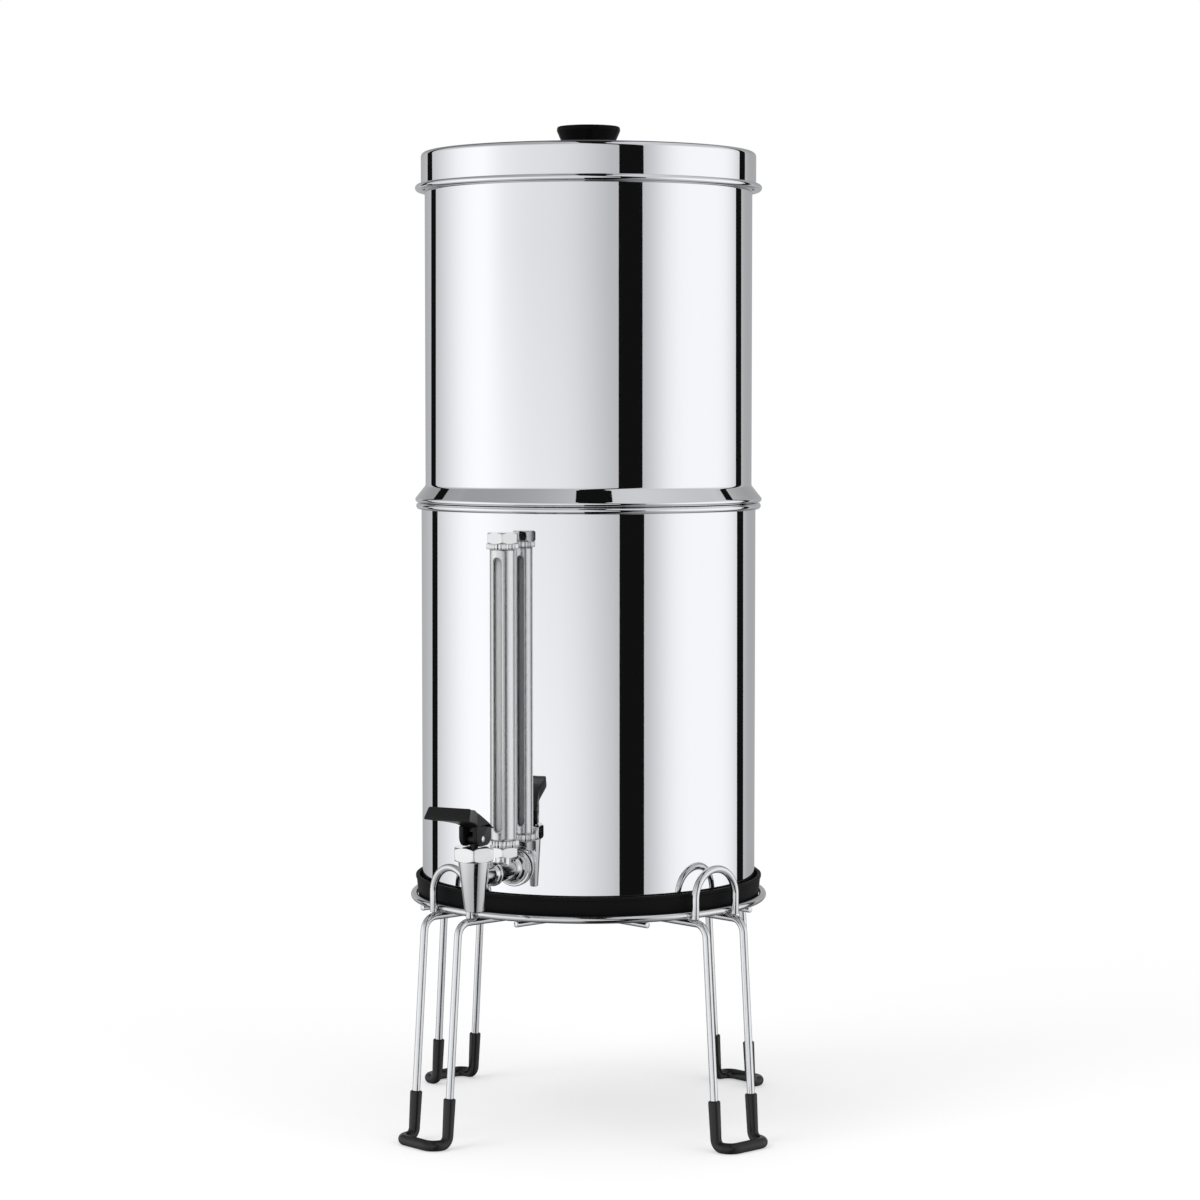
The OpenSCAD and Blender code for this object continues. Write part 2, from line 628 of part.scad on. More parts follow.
// Plan view of the blade, front to the right
module blade_plan() polygon(concat(
    [[-ear_back - 4, -fork_w / 2], [ear_front - 1, -fork_w / 2]],
    arc(blade_reach - 1.3, 1.6 - blade_w / 2, 1.6, -105, 0, 4),
    arc(blade_reach - 1.3, blade_w / 2 - 1.6, 1.6, 0, 105, 4),
    [[ear_front - 1, fork_w / 2], [-ear_back - 4, fork_w / 2]]
));

module tap_lever() color(black) on_axis() at_front(tap_y, pin_z) rotate([0, 0, -90]) difference() {
    union() {
        intersection() {
            translate([0, blade_w, 0]) rotate([90, 0, 0]) linear_extrude(2 * blade_w) blade_side();
            linear_extrude(3 * blade_up) blade_plan();
        }
        for (side = [-fork_w / 2 + ear_t, fork_w / 2])
            translate([0, side, 0]) rotate([90, 0, 0]) linear_extrude(ear_t) ear_outline();
    }
    translate([0, fork_w, 0]) rotate([90, 0, 0]) cylinder(r = pin_r + fit_gap, h = 2 * fork_w);
}

module lever_pin() color(steel) on_axis() at_front(tap_y, pin_z) rotate([0, 90, 0])
    translate([0, 0, -fork_w / 2]) cylinder(r = pin_r, h = fork_w);

module upper_chamber() color(steel) on_axis() difference() {
    rotate_extrude() {
        sheet_profile(concat(
            [[0, upper_z]],
            arc(upper_r - base_corner, upper_z + base_corner, base_corner, -90, 0, 6),
            [[upper_r, flare_z], [upper_r + flare_reach - flare_lip, flare_z]],
            arc(upper_r + flare_reach - flare_lip, flare_z + flare_lip, flare_lip, -60, 30, 3),
            [[upper_r, flare_z + flare_h], [upper_r, mouth_z - hem_w]]
        ), sheet);
        polygon(concat(
            [[upper_r - hem_w, mouth_z - hem_h], [upper_r, mouth_z - hem_h]],
            arc(upper_r - hem_w / 2, mouth_z - hem_w / 2, hem_w / 2, 0, 180, 6)
        ));
    }
    for (side = [-1, 1]) translate([side * filter_offset, 0, upper_z - 1])
        cylinder(r = filter_stem_r + hole_gap, h = sheet + 2);
}

module filter(side) color(carbon) on_axis() translate([side * filter_offset, 0, filter_z + filter_cap_h])
    rotate_extrude() polygon(concat(
        [[filter_core_r, 0], [filter_r, 0]],
        arc(filter_r - 8, filter_h - 12, 8, 0, 60, 4),
        [[0.4 * filter_r, filter_h - 2], [0, filter_h], [0, filter_h - 20], [filter_core_r, filter_h - 22]]
    ));

module filter_cap(side) color(black) on_axis() translate([side * filter_offset, 0, filter_z])
    rotate_extrude() polygon([
        [filter_bore, -filter_stem_h], [filter_stem_r - 0.6, -filter_stem_h], [filter_stem_r, 1 - filter_stem_h],
        [filter_stem_r, 0], [filter_cap_r - 6, 0], [filter_cap_r - 1, 2.5], [filter_cap_r, 4],
        [filter_cap_r, filter_cap_h], [filter_bore, filter_cap_h]
    ]);

module filter_washers() color(silicone) on_axis() for (side = [-1, 1])
    translate([side * filter_offset, 0, upper_z + sheet])
        tube(filter_stem_r + washer_w, filter_stem_r + rest_gap, washer_h);

module filter_nuts() color(black) on_axis() for (side = [-1, 1])
    translate([side * filter_offset, 0, upper_z - nut_h]) difference() {
        wing_l = 2 * (filter_stem_r + nut_wall + wing_reach);
        union() {
            cylinder(r = filter_stem_r + nut_wall, h = nut_h);
            translate([-wing_l / 2, -wing_t / 2, 0]) cube([wing_l, wing_t, wing_h]);
        }
        translate([0, 0, -1]) cylinder(r = filter_stem_r + screw_gap, h = nut_h + 2);
    }

module lid() color(steel) on_axis() difference() {
    skirt_z = lid_z - lid_h;
    rotate_extrude() {
        sheet_profile(concat(
            [[lid_r, skirt_z + lid_bead_r]],
            arc(lid_r - lid_shoulder, lid_z - lid_shoulder, lid_shoulder, 0, 90, 6),
            [[knob_r, lid_z + lid_crown], [0, lid_z + lid_crown]]
        ), sheet);
        translate([lid_bead_at, skirt_z + lid_bead_r]) circle(r = lid_bead_r, $fn = 32);
    }
    translate([0, 0, lid_z - 5]) cylinder(r = 2.7, h = 10);
}

module lid_knob() color(black) on_axis() translate([0, 0, lid_z + lid_crown]) difference() {
    rotate_extrude() polygon(concat(
        [[0, 0], [knob_foot_r, 0], [knob_foot_r + 0.5, 0.8]],
        [[0.47 * knob_foot_r + 0.53 * knob_r, 0.44 * knob_h]],
        arc(knob_r - 1.6, knob_h - 2.2, 1.6, -20, 80, 5),
        [[0.5 * knob_r, knob_h - 0.2], [0, knob_h]]
    ));
    translate([0, 0, -1]) cylinder(r = 2.5, h = 13);
}

module knob_screw() color(dull_steel) on_axis()
    translate([0, 0, lid_z + lid_crown - sheet - 1 - 2 * fit_gap]) {
        translate([0, 0, -3]) cylinder(r = 4.4, h = 3);
        cylinder(r = 2.4, h = 12);
    }

module knob_washer() color(dull_steel) on_axis() translate([0, 0, lid_z + lid_crown - sheet - 1 - fit_gap])
    tube(6, 2.6, 1);

stand_ring();
stand_grid();
for (k = [1:4]) leg(k);
for (k = [1:4]) retaining_loop(k);
for (k = [1:4]) foot_sleeve(k);
lower_chamber();
base_band();
tap_body();
tap_bonnet();
valve_diaphragm();
tap_spring();
outer_gasket();
wall_washer();
gauge_block();
front_collar();
inner_gasket();
inner_nut();
gauge_nut();
gauge_socket();
gauge_seals();
gauge_glass();
gauge_sleeve();
gauge_collar();
gauge_cap();
tap_stem();
seat_cup();
tap_lever();
lever_pin();
upper_chamber();
filter(-1);  // filter_1
filter(1);  // filter_2
filter_cap(-1);  // filter_cap_1
filter_cap(1);  // filter_cap_2
filter_washers();
filter_nuts();
lid();
lid_knob();
knob_screw();
knob_washer();
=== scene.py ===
import bpy
import bmesh
import numpy as np
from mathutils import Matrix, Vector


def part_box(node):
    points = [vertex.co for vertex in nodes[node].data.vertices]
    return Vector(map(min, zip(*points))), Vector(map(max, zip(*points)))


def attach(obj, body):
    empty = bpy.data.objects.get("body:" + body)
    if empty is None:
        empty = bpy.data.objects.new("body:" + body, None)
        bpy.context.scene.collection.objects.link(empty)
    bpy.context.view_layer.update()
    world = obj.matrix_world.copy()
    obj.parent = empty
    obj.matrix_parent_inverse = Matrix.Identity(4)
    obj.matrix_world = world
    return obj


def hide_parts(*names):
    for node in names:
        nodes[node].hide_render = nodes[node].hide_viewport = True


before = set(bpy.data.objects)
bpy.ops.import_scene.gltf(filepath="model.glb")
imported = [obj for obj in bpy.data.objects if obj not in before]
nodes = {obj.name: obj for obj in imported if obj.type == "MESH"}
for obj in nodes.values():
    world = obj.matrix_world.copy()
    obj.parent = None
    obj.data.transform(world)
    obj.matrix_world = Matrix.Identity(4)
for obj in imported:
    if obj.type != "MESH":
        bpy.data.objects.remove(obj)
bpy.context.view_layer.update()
axisY = (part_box("lid")[0].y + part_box("lid")[1].y) / 2  # the vessel's axis, in metres
scene = bpy.context.scene
perMetre = 1000.0  # the sizes below are in millimetres
sameSpot = 2e-6  # points nearer than this, in metres, become one

# Heights and radii that several pieces share, in millimetres from the floor and from the vessel's axis
vessel = {"standHeight": 147.0, "baseHeight": 149.5, "rimHeight": 411.2, "flareHeight": 411.5,
          "lidHeight": 641.8, "lowerRadius": 111.0, "upperRadius": 108.3, "tapHeight": 181.0, "tapOut": 168.5,
          "gaugeOut": 128.2}


# Shapes

def unit(v):
    # Each vector divided by its own length
    return v / np.linalg.norm(v, axis=-1, keepdims=True)


def filleted(corners, radii, closed=False, steps=8):
    # Each corner becomes an arc that touches both its sides:
    # centre = corner + bisector * radius / sin(half angle)
    corners = np.asarray(corners, float)
    out = []
    for i, (p, radius) in enumerate(zip(corners, radii)):
        if radius <= 0 or (not closed and i in (0, len(corners) - 1)):
            out.append(p[None])
            continue
        u, v = unit(corners[i - 1] - p), unit(corners[(i + 1) % len(corners)] - p)
        half = np.arccos(np.clip(u @ v, -1, 1)) / 2
        centre = p + unit(u + v) * radius / np.sin(half)
        start = unit(p + u * radius / np.tan(half) - centre)
        end = unit(p + v * radius / np.tan(half) - centre)
        side = unit(end - start * (start @ end))
        turn = np.linspace(0, np.pi - 2 * half, steps + 1)[:, None]
        out.append(centre + radius * (np.cos(turn) * start + np.sin(turn) * side))
    return np.vstack(out)


def beside(path, distance):
    # Every point moves along the mitre of the two sides it joins, positive to the right of the path
    along = unit(np.diff(path, axis=0))
    right = np.stack([along[:, 1], -along[:, 0]], 1)
    before, after = np.vstack([right[:1], right]), np.vstack([right, right[-1:]])
    return path + distance * (before + after) / (1 + (before * after).sum(1, keepdims=True))


def sheetLoop(path, thickness):
    # The outer face follows the path, the inner face is the same path moved by the sheet's thickness
    return np.vstack([path, beside(path, -thickness)[::-1]])


def settled(path, nearEnd=0.4, least=6.0):
    # Long straight sides get a point just inside both their ends, so the shading of a bend stays at the bend
    out = [path[:1]]
    for p, q in zip(path[:-1], path[1:]):
        length = np.linalg.norm(q - p)
        if length > least:
            out.append(np.stack([p + (q - p) * nearEnd / length, q - (q - p) * nearEnd / length]))
        out.append(q[None])
    return np.vstack(out)


def gridFaces(rows, columns, wrapRows=False, wrapColumns=True):
    # Each point joins the next ones in its row and its column, and the last ones join the first where wrapped
    i, j = np.meshgrid(np.arange(rows if wrapRows else rows - 1),
                       np.arange(columns if wrapColumns else columns - 1), indexing="ij")
    k, l = (i + 1) % rows, (j + 1) % columns
    return np.stack([i * columns + j, i * columns + l, k * columns + l, k * columns + j], -1).reshape(-1, 4)


def cappedGrid(rows, columns):
    # The grid's own faces, and one face over each of its two open ends
    last = (rows - 1) * columns
    return [gridFaces(rows, columns), np.arange(columns)[None], np.arange(last, last + columns)[None]]


def turned(profile, centre=(0, 0), segments=192, closed=True):
    # A profile point (r, z) goes round the upright axis: x = r cos a, y = r sin a
    a = np.linspace(0, 2 * np.pi, segments, endpoint=False)
    r, z = profile[:, :1], profile[:, 1:]
    points = np.stack([centre[0] + r * np.cos(a), centre[1] + r * np.sin(a), z + 0 * a], -1)
    return points.reshape(-1, 3), [gridFaces(len(profile), segments, closed)]


def stackedRings(a, radii, rise, base, centre):
    # One ring at each rise above the base, with a radius for each angle, closed by a point at both ends
    r = np.vstack([0 * radii[:1], radii, 0 * radii[:1]])
    z = base + np.r_[rise[0], rise, rise[-1]][:, None]
    points = np.stack([centre[0] + r * np.cos(a), centre[1] + r * np.sin(a), z + 0 * r], -1)
    return points.reshape(-1, 3), [gridFaces(*r.shape)]


def turnedOnShank(profile, segments=96, closed=True):
    # A profile point (r, out) goes round the tap's level axis: x = r cos a, y = -out, z = height + r sin a
    a = np.linspace(0, 2 * np.pi, segments, endpoint=False)
    r, out = profile[:, :1], profile[:, 1:]
    points = np.stack([r * np.cos(a), -out + 0 * a, vessel["tapHeight"] + r * np.sin(a)], -1)
    return points.reshape(-1, 3), [gridFaces(len(profile), segments, closed)]


def circleProfile(r, z, radius, steps=40):
    # Point = (r + radius cos a, z + radius sin a)
    a = np.linspace(0, 2 * np.pi, steps, endpoint=False)
    return np.stack([r + radius * np.cos(a), z + radius * np.sin(a)], 1)


def swept(path, radius, sides=28):
    # A circle carried along the path, kept from twisting by moving its first normal from station to station
    leastStep = 1e-6
    acrossAll = [0.31, 0.52, 0.79]  # no wire here starts out this way
    path = np.asarray(path, float)
    path = path[np.r_[True, np.linalg.norm(np.diff(path, axis=0), axis=1) > leastStep]]
    along = unit(np.diff(path, axis=0))
    tangent = unit(np.vstack([along[:1], along]) + np.vstack([along, along[-1:]]))
    normal = np.empty_like(tangent)
    normal[0] = unit(np.cross(tangent[0], acrossAll))
    for i in range(1, len(path)):
        normal[i] = unit(normal[i - 1] - tangent[i] * (normal[i - 1] @ tangent[i]))
    other = np.cross(tangent, normal)
    a = np.linspace(0, 2 * np.pi, sides, endpoint=False)[None, :, None]
    radius = np.broadcast_to(radius, len(path))[:, None, None]
    points = path[:, None] + radius * (np.cos(a) * normal[:, None] + np.sin(a) * other[:, None])
    return points.reshape(-1, 3), cappedGrid(len(path), sides)


def roundedEnds(path, radius, edge):
    # Extra stations near both ends, where the wire's radius runs out by the edge's rounding
    path = np.asarray(path, float)
    s = np.array([0, 0.3, 0.7, 1.0])
    shrink = edge * (1 - np.sqrt(1 - (1 - s) ** 2))
    first = path[0] + unit(path[1] - path[0]) * s[:, None] * edge
    final = path[-1] + unit(path[-2] - path[-1]) * s[::-1, None] * edge
    radii = np.r_[radius - shrink, np.full(len(path) - 2, radius), radius - shrink[::-1]]
    return np.vstack([first, path[1:-1], final]), radii


def makePiece(name, surfaces, body, material, standsFor=(), sharpDegrees=35):
    # Joins the surfaces, moves them from millimetres off the vessel's axis to metres in the frame,
    # and closes seams and poles
    points, faces, start = [], [], 0
    for p, groups in surfaces:
        points.append(p)
        for g in groups:
            faces += (np.asarray(g) + start).tolist()
        start += len(p)
    mesh = bpy.data.meshes.new(name)
    mesh.from_pydata((np.vstack(points) / perMetre + [0, axisY, 0]).tolist(), [], faces)
    bm = bmesh.new()
    bm.from_mesh(mesh)
    bmesh.ops.remove_doubles(bm, verts=bm.verts, dist=sameSpot)
    bmesh.ops.recalc_face_normals(bm, faces=bm.faces)
    bm.to_mesh(mesh)
    bm.free()
    mesh.polygons.foreach_set("use_smooth", np.ones(len(mesh.polygons), bool))
    mesh.set_sharp_from_angle(angle=np.radians(sharpDegrees))
    mesh.materials.append(material)
    piece = bpy.data.objects.new(name, mesh)
    scene.collection.objects.link(piece)
    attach(piece, body)
    if standsFor:
        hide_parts(*standsFor)
    return piece


# Materials

def makeMaterial(name, color, worn=None, metallic=0.0, roughness=(0.2, 0.3), grain=900, patch=40,
                 stretch=(1, 1, 1), bump=0.0, depth=0.0001, transmission=0.0, ior=1.5, specular=0.5,
                 speckle=0.5):
    # Fine grain drives the bump. Grain and broad patches, blended by speckle, drift the colour from color to
    # worn and the roughness between its two ends.
    grainDetail, patchDetail = 3.0, 2.0
    calm, busy = 0.3, 0.7  # the noise mostly keeps between these
    material = bpy.data.materials.new(name)
    material.use_nodes = True
    tree = material.node_tree
    shader = tree.nodes["Principled BSDF"]
    shader.inputs["Metallic"].default_value = metallic
    shader.inputs["Transmission Weight"].default_value = transmission
    shader.inputs["IOR"].default_value = ior
    shader.inputs["Specular IOR Level"].default_value = specular
    place = tree.nodes.new("ShaderNodeTexCoord")
    mapping = tree.nodes.new("ShaderNodeMapping")
    mapping.inputs["Scale"].default_value = stretch
    tree.links.new(place.outputs["Object"], mapping.inputs["Vector"])
    fine, broad = tree.nodes.new("ShaderNodeTexNoise"), tree.nodes.new("ShaderNodeTexNoise")
    for noise, scale, detail in ((fine, grain, grainDetail), (broad, patch, patchDetail)):
        noise.inputs["Scale"].default_value = scale
        noise.inputs["Detail"].default_value = detail
        tree.links.new(mapping.outputs["Vector"], noise.inputs["Vector"])
    tone = tree.nodes.new("ShaderNodeMix")
    tone.data_type = "RGBA"
    tone.inputs["A"].default_value = (*color, 1)
    tone.inputs["B"].default_value = (*(worn or color), 1)
    blend = tree.nodes.new("ShaderNodeMix")
    blend.inputs["Factor"].default_value = speckle
    tree.links.new(broad.outputs["Fac"], blend.inputs["A"])
    tree.links.new(fine.outputs["Fac"], blend.inputs["B"])
    tree.links.new(blend.outputs["Result"], tone.inputs["Factor"])
    tree.links.new(tone.outputs["Result"], shader.inputs["Base Color"])
    spread = tree.nodes.new("ShaderNodeMapRange")
    spread.inputs["From Min"].default_value = calm
    spread.inputs["From Max"].default_value = busy
    spread.inputs["To Min"].default_value = roughness[0]
    spread.inputs["To Max"].default_value = roughness[1]
    tree.links.new(blend.outputs["Result"], spread.inputs["Value"])
    tree.links.new(spread.outputs["Result"], shader.inputs["Roughness"])
    if bump:
        lump = tree.nodes.new("ShaderNodeBump")
        lump.inputs["Strength"].default_value = bump
        lump.inputs["Distance"].default_value = depth
        tree.links.new(fine.outputs["Fac"], lump.inputs["Height"])
        tree.links.new(lump.outputs["Normal"], shader.inputs["Normal"])
    return material


mirrorSteel = makeMaterial("mirrorSteel", (0.9, 0.905, 0.92), (0.88, 0.885, 0.9), metallic=1,
                           roughness=(0.014, 0.03), grain=260, patch=12, stretch=(1, 1, 0.06), bump=0.006,
                           depth=0.0002)
wireSteel = makeMaterial("wireSteel", (0.84, 0.845, 0.85), (0.74, 0.745, 0.75), metallic=1,
                         roughness=(0.07, 0.16), grain=700, patch=70, bump=0.05, depth=0.0001)
turnedSteel = makeMaterial("turnedSteel", (0.83, 0.83, 0.83), (0.76, 0.76, 0.76), metallic=1,
                           roughness=(0.07, 0.15), grain=1200, patch=90, stretch=(1, 1, 3), bump=0.03,
                           depth=0.00005)
satinSteel = makeMaterial("satinSteel", (0.8, 0.8, 0.8), (0.72, 0.72, 0.72), metallic=1,
                          roughness=(0.2, 0.32), grain=1500, patch=80, stretch=(3, 3, 0.1), bump=0.02,
                          depth=0.00005)
plainSteel = makeMaterial("plainSteel", (0.62, 0.62, 0.63), (0.5, 0.5, 0.51), metallic=1,
                          roughness=(0.25, 0.4), grain=900, patch=60, bump=0.06, depth=0.0001)
weldSteel = makeMaterial("weldSteel", (0.5, 0.49, 0.47), (0.3, 0.28, 0.26), metallic=1,
                         roughness=(0.25, 0.5), grain=900, patch=300, bump=0.4, depth=0.0003)
bandRubber = makeMaterial("bandRubber", (0.004, 0.004, 0.004), (0.007, 0.007, 0.0075),
                          roughness=(0.42, 0.6), grain=1800, patch=25, bump=0.25, depth=0.00008,
                          specular=0.07)
sleeveVinyl = makeMaterial("sleeveVinyl", (0.007, 0.007, 0.008), (0.012, 0.012, 0.013),
                           roughness=(0.16, 0.28), grain=380, patch=60, bump=0.12, depth=0.0003,
                           specular=0.4)
leverPlastic = makeMaterial("leverPlastic", (0.006, 0.006, 0.006), (0.01, 0.01, 0.0105),
                            roughness=(0.3, 0.42), grain=1600, patch=50, bump=0.12, depth=0.00006,
                            specular=0.22)
knobPlastic = makeMaterial("knobPlastic", (0.002, 0.002, 0.002), (0.004, 0.004, 0.0042),
                           roughness=(0.22, 0.34), grain=1500, patch=40, bump=0.06, depth=0.00006,
                           specular=0.05)
gasketRubber = makeMaterial("gasketRubber", (0.015, 0.015, 0.015), (0.03, 0.03, 0.03),
                            roughness=(0.5, 0.7), grain=1400, patch=60, bump=0.2, depth=0.0001)
# Near-black steel for the tap's stem: painted shade for the dark gap between the lever's ears
stemPaintedShade = makeMaterial("stemPaintedShade", (0.03, 0.03, 0.032), (0.05, 0.05, 0.052), metallic=1,
                        roughness=(0.3, 0.45), grain=1200, patch=60, bump=0.05, depth=0.00005)
siliconeWhite = makeMaterial("siliconeWhite", (0.8, 0.81, 0.79), (0.72, 0.73, 0.7), roughness=(0.35, 0.5),
                             grain=900, patch=60, bump=0.05, depth=0.0001, transmission=0.25, ior=1.41)
clearGlass = makeMaterial("clearGlass", (0.86, 0.87, 0.87), (0.8, 0.82, 0.82), roughness=(0.1, 0.2),
                          grain=200, patch=30, transmission=0.55, ior=1.3)
carbonBlock = makeMaterial("carbonBlock", (0.02, 0.02, 0.021), (0.075, 0.075, 0.078),
                           roughness=(0.75, 0.95), grain=1100, patch=60, bump=0.8, depth=0.0006, speckle=0.8)
capPlastic = makeMaterial("capPlastic", (0.02, 0.02, 0.022), (0.032, 0.032, 0.034), roughness=(0.4, 0.55),
                          grain=1300, patch=50, bump=0.1, depth=0.0001)
print("materials made")


# Stand

stand = {"turn": 22.7, "ringRadius": 116.5, "ringWire": 2.4, "ringHeight": 149.5, "barWire": 2.0,
         "barOffset": 46.5, "barEnd": 116.0, "barEdge": 0.5, "wire": 2.5, "gap": 33.5, "lean": 4.0,
         "bendRadius": 9.0, "footBend": 5.5, "footRun": 0.2, "footCorner": 7.0, "legEdge": 0.6,
         "loopGap": 35.8, "loopTop": 180.5, "loopEdge": 0.4, "archPlay": 0.01, "tailStart": 48.6,
         "weldGap": 0.1}
sleeve = {"radius": 3.6, "height": 24.3, "centre": 3.1, "lip": 0.35, "edge": 0.7}
weld = {"loop": 2.7, "ring": 2.2, "bar": 2.3, "cross": 2.6, "loopIn": 1.6, "barOut": 2.4, "shift": 0.4,
        "flat": 0.66, "wave": 1.3}

ring = turned(circleProfile(stand["ringRadius"], stand["ringHeight"], stand["ringWire"]), segments=256)
makePiece("ringWire", [ring], "stand", wireSteel, ["stand_ring"])


def turnedAbout(points, degrees):
    # Rotation about the vessel's axis: x' = x cos t - y sin t, y' = x sin t + y cos t
    t = np.radians(degrees)
    x, y, z = points[..., 0], points[..., 1], points[..., 2]
    return np.stack([x * np.cos(t) - y * np.sin(t), x * np.sin(t) + y * np.cos(t), z], -1)


barHalf = np.sqrt(stand["barEnd"] ** 2 - stand["barOffset"] ** 2)
barZ = vessel["standHeight"] - stand["barWire"]
bars = []
for quarter in (45, 135):
    for y in (-stand["barOffset"], stand["barOffset"]):
        line = [[-barHalf, y, barZ], [barHalf, y, barZ]]
        path, radii = roundedEnds(line, stand["barWire"], stand["barEdge"])
        bars.append(swept(turnedAbout(path, stand["turn"] + quarter), radii))
makePiece("carryingBars", bars, "stand", wireSteel, ["stand_grid"])

# The loops stand outside the ring, each leg leans out below its loop, and the sleeve covers the leg's foot
halfGap, halfLoop = stand["gap"] / 2, stand["loopGap"] / 2
loopOut = np.sqrt((stand["ringRadius"] + stand["ringWire"] + stand["wire"] + stand["weldGap"]) ** 2
                  - halfLoop ** 2)
loopZ = vessel["standHeight"] + stand["weldGap"]
tailZ = vessel["standHeight"] - stand["wire"]
lean = np.radians(stand["lean"])
legTop = loopOut + stand["bendRadius"] * np.tan(np.radians(90 - stand["lean"]) / 2)
legFoot = legTop + (tailZ - sleeve["centre"]) * np.tan(lean)
bothBends = stand["bendRadius"] + stand["footBend"]
footEnd = (loopOut + bothBends * np.cos(lean) + stand["footRun"] + stand["footCorner"]
           + (tailZ - sleeve["centre"] - bothBends * (1 - np.sin(lean))) * np.tan(lean))
footCorners = [[legFoot, -halfGap, sleeve["centre"]], [footEnd, -halfGap, sleeve["centre"]]]
coverZ = sleeve["centre"] + stand["footBend"] * (1 - np.sin(lean)) + sleeve["height"] * np.cos(lean)
coverX = legFoot - (coverZ - sleeve["centre"]) * np.tan(lean)


def wireLoop(corners, bends, radius, edge, steps):
    # Goes out along the corners and comes back through their mirror image: (x, y, z) becomes (x, -y, z)
    corners = corners + [[x, -y, z] for x, y, z in corners[::-1]]
    return roundedEnds(filleted(corners, bends + bends[::-1], steps=steps), radius, edge)


def legWire(heading):
    # In under the vessel at the top, down the lean, and out along the floor
    corners = [[stand["tailStart"], -halfGap, tailZ], [legTop, -halfGap, tailZ]] + footCorners
    bends = [0, stand["bendRadius"], stand["footBend"], stand["footCorner"]]
    path, radii = wireLoop(corners, bends, stand["wire"], stand["legEdge"], 12)
    return swept(turnedAbout(path, heading), radii)


def footSleeve(heading):
    # The leg's own path from the sleeve's top on, with a thin lip at both ends
    bends = [0, stand["footBend"], stand["footCorner"]]
    corners = [[coverX, -halfGap, coverZ]] + footCorners
    path, radii = wireLoop(corners, bends, sleeve["radius"], sleeve["edge"], 12)
    radii[[3, -4]] += sleeve["lip"]
    points, faces = swept(turnedAbout(path, heading), radii, sides=32)
    points[:, 2] = np.maximum(points[:, 2], 0)  # the flat that it rests on
    return points, faces


def loopWire(heading):
    # An arch: its two bends are a hair under half its width, so they nearly meet at the top
    corners = [[loopOut, -halfLoop, loopZ], [loopOut, -halfLoop, stand["loopTop"] - stand["wire"]]]
    path, radii = wireLoop(corners, [0, halfLoop - stand["archPlay"]], stand["wire"], stand["loopEdge"], 24)
    return swept(turnedAbout(path, heading), radii)


welds = []
ringWeld = np.sqrt(stand["ringRadius"] ** 2 - halfGap ** 2)
for k in range(1, 5):
    heading = stand["turn"] - 135 + 90 * k
    makePiece(f"legWire{k}", [legWire(heading)], "stand", wireSteel, [f"leg_{k}"])
    makePiece(f"footSleeve{k}", [footSleeve(heading)], "stand", sleeveVinyl,
              [f"foot_sleeve_{k}"], 50)
    makePiece(f"loopWire{k}", [loopWire(heading)], "stand", wireSteel, [f"retaining_loop_{k}"])
    for side in (-1, 1):
        atLoop = [loopOut - weld["loopIn"], side * (halfLoop - weld["shift"]), loopZ + weld["shift"]]
        atRing = [ringWeld, side * halfGap, loopZ - weld["shift"]]
        atBar = [stand["barOffset"] + weld["barOut"], side * halfGap, barZ]
        welds += [(heading, atLoop, weld["loop"]), (heading, atRing, weld["ring"]),
                  (heading, atBar, weld["bar"])]
for quarter in range(4):
    crossing = [stand["barOffset"], stand["barOffset"], barZ]
    welds.append((stand["turn"] + 45 + 90 * quarter, crossing, weld["cross"]))


def weldLump(heading, place, size, seed):
    # A ball of radius size * (1 + three low waves), flattened to two thirds of its height
    around, upright, small = 0.1, 0.08, 0.05  # the waves' heights, as shares of the radius
    u = np.linspace(0, np.pi, 11)[:, None]
    v = np.linspace(0, 2 * np.pi, 18, endpoint=False)[None]
    wave = (1 + around * np.sin(3 * v + seed) * np.sin(u) + upright * np.cos(2 * u + 1.7 * seed)
            + small * np.sin(5 * v - seed))
    ball = np.stack([np.sin(u) * np.cos(v), np.sin(u) * np.sin(v), weld["flat"] * np.cos(u) + 0 * v], -1)
    points = size * wave[..., None] * ball
    return turnedAbout(points.reshape(-1, 3) + place, heading), [gridFaces(*wave.shape)]


makePiece("weldBeads", [weldLump(*w, weld["wave"] * i) for i, w in enumerate(welds)], "stand",
          weldSteel, sharpDegrees=80)
print("stand made")


# Chambers, band and lid

def spunSheet(wall, thickness, edge):
    # The wall's sheet and its rolled edge, both turned round the upright axis
    return [turned(sheetLoop(settled(wall), thickness), segments=360), turned(edge, segments=360)]


lower = {"sheet": 1.0, "panelRise": 3.0, "panelRadius": 90.0, "panelBend": 2.0, "corner": 5.0, "bead": 2.2,
         "beadOut": 0.1}
rLow, zLow, zRim = vessel["lowerRadius"], vessel["baseHeight"], vessel["rimHeight"]
rPanel, zPanel = lower["panelRadius"], zLow + lower["panelRise"]
wall = filleted([[0, zPanel], [rPanel, zPanel], [rPanel + lower["panelRise"], zLow], [rLow, zLow],
                 [rLow, zRim - lower["bead"]]],
                [0, lower["panelBend"], lower["panelBend"], lower["corner"], 0])
rBead = rLow - lower["sheet"] + lower["bead"] + lower["beadOut"]
rolled = circleProfile(rBead, zRim - lower["bead"], lower["bead"])
makePiece("lowerChamber", spunSheet(wall, lower["sheet"], rolled), "lower_vessel",
          mirrorSteel, ["lower_chamber"], 50)

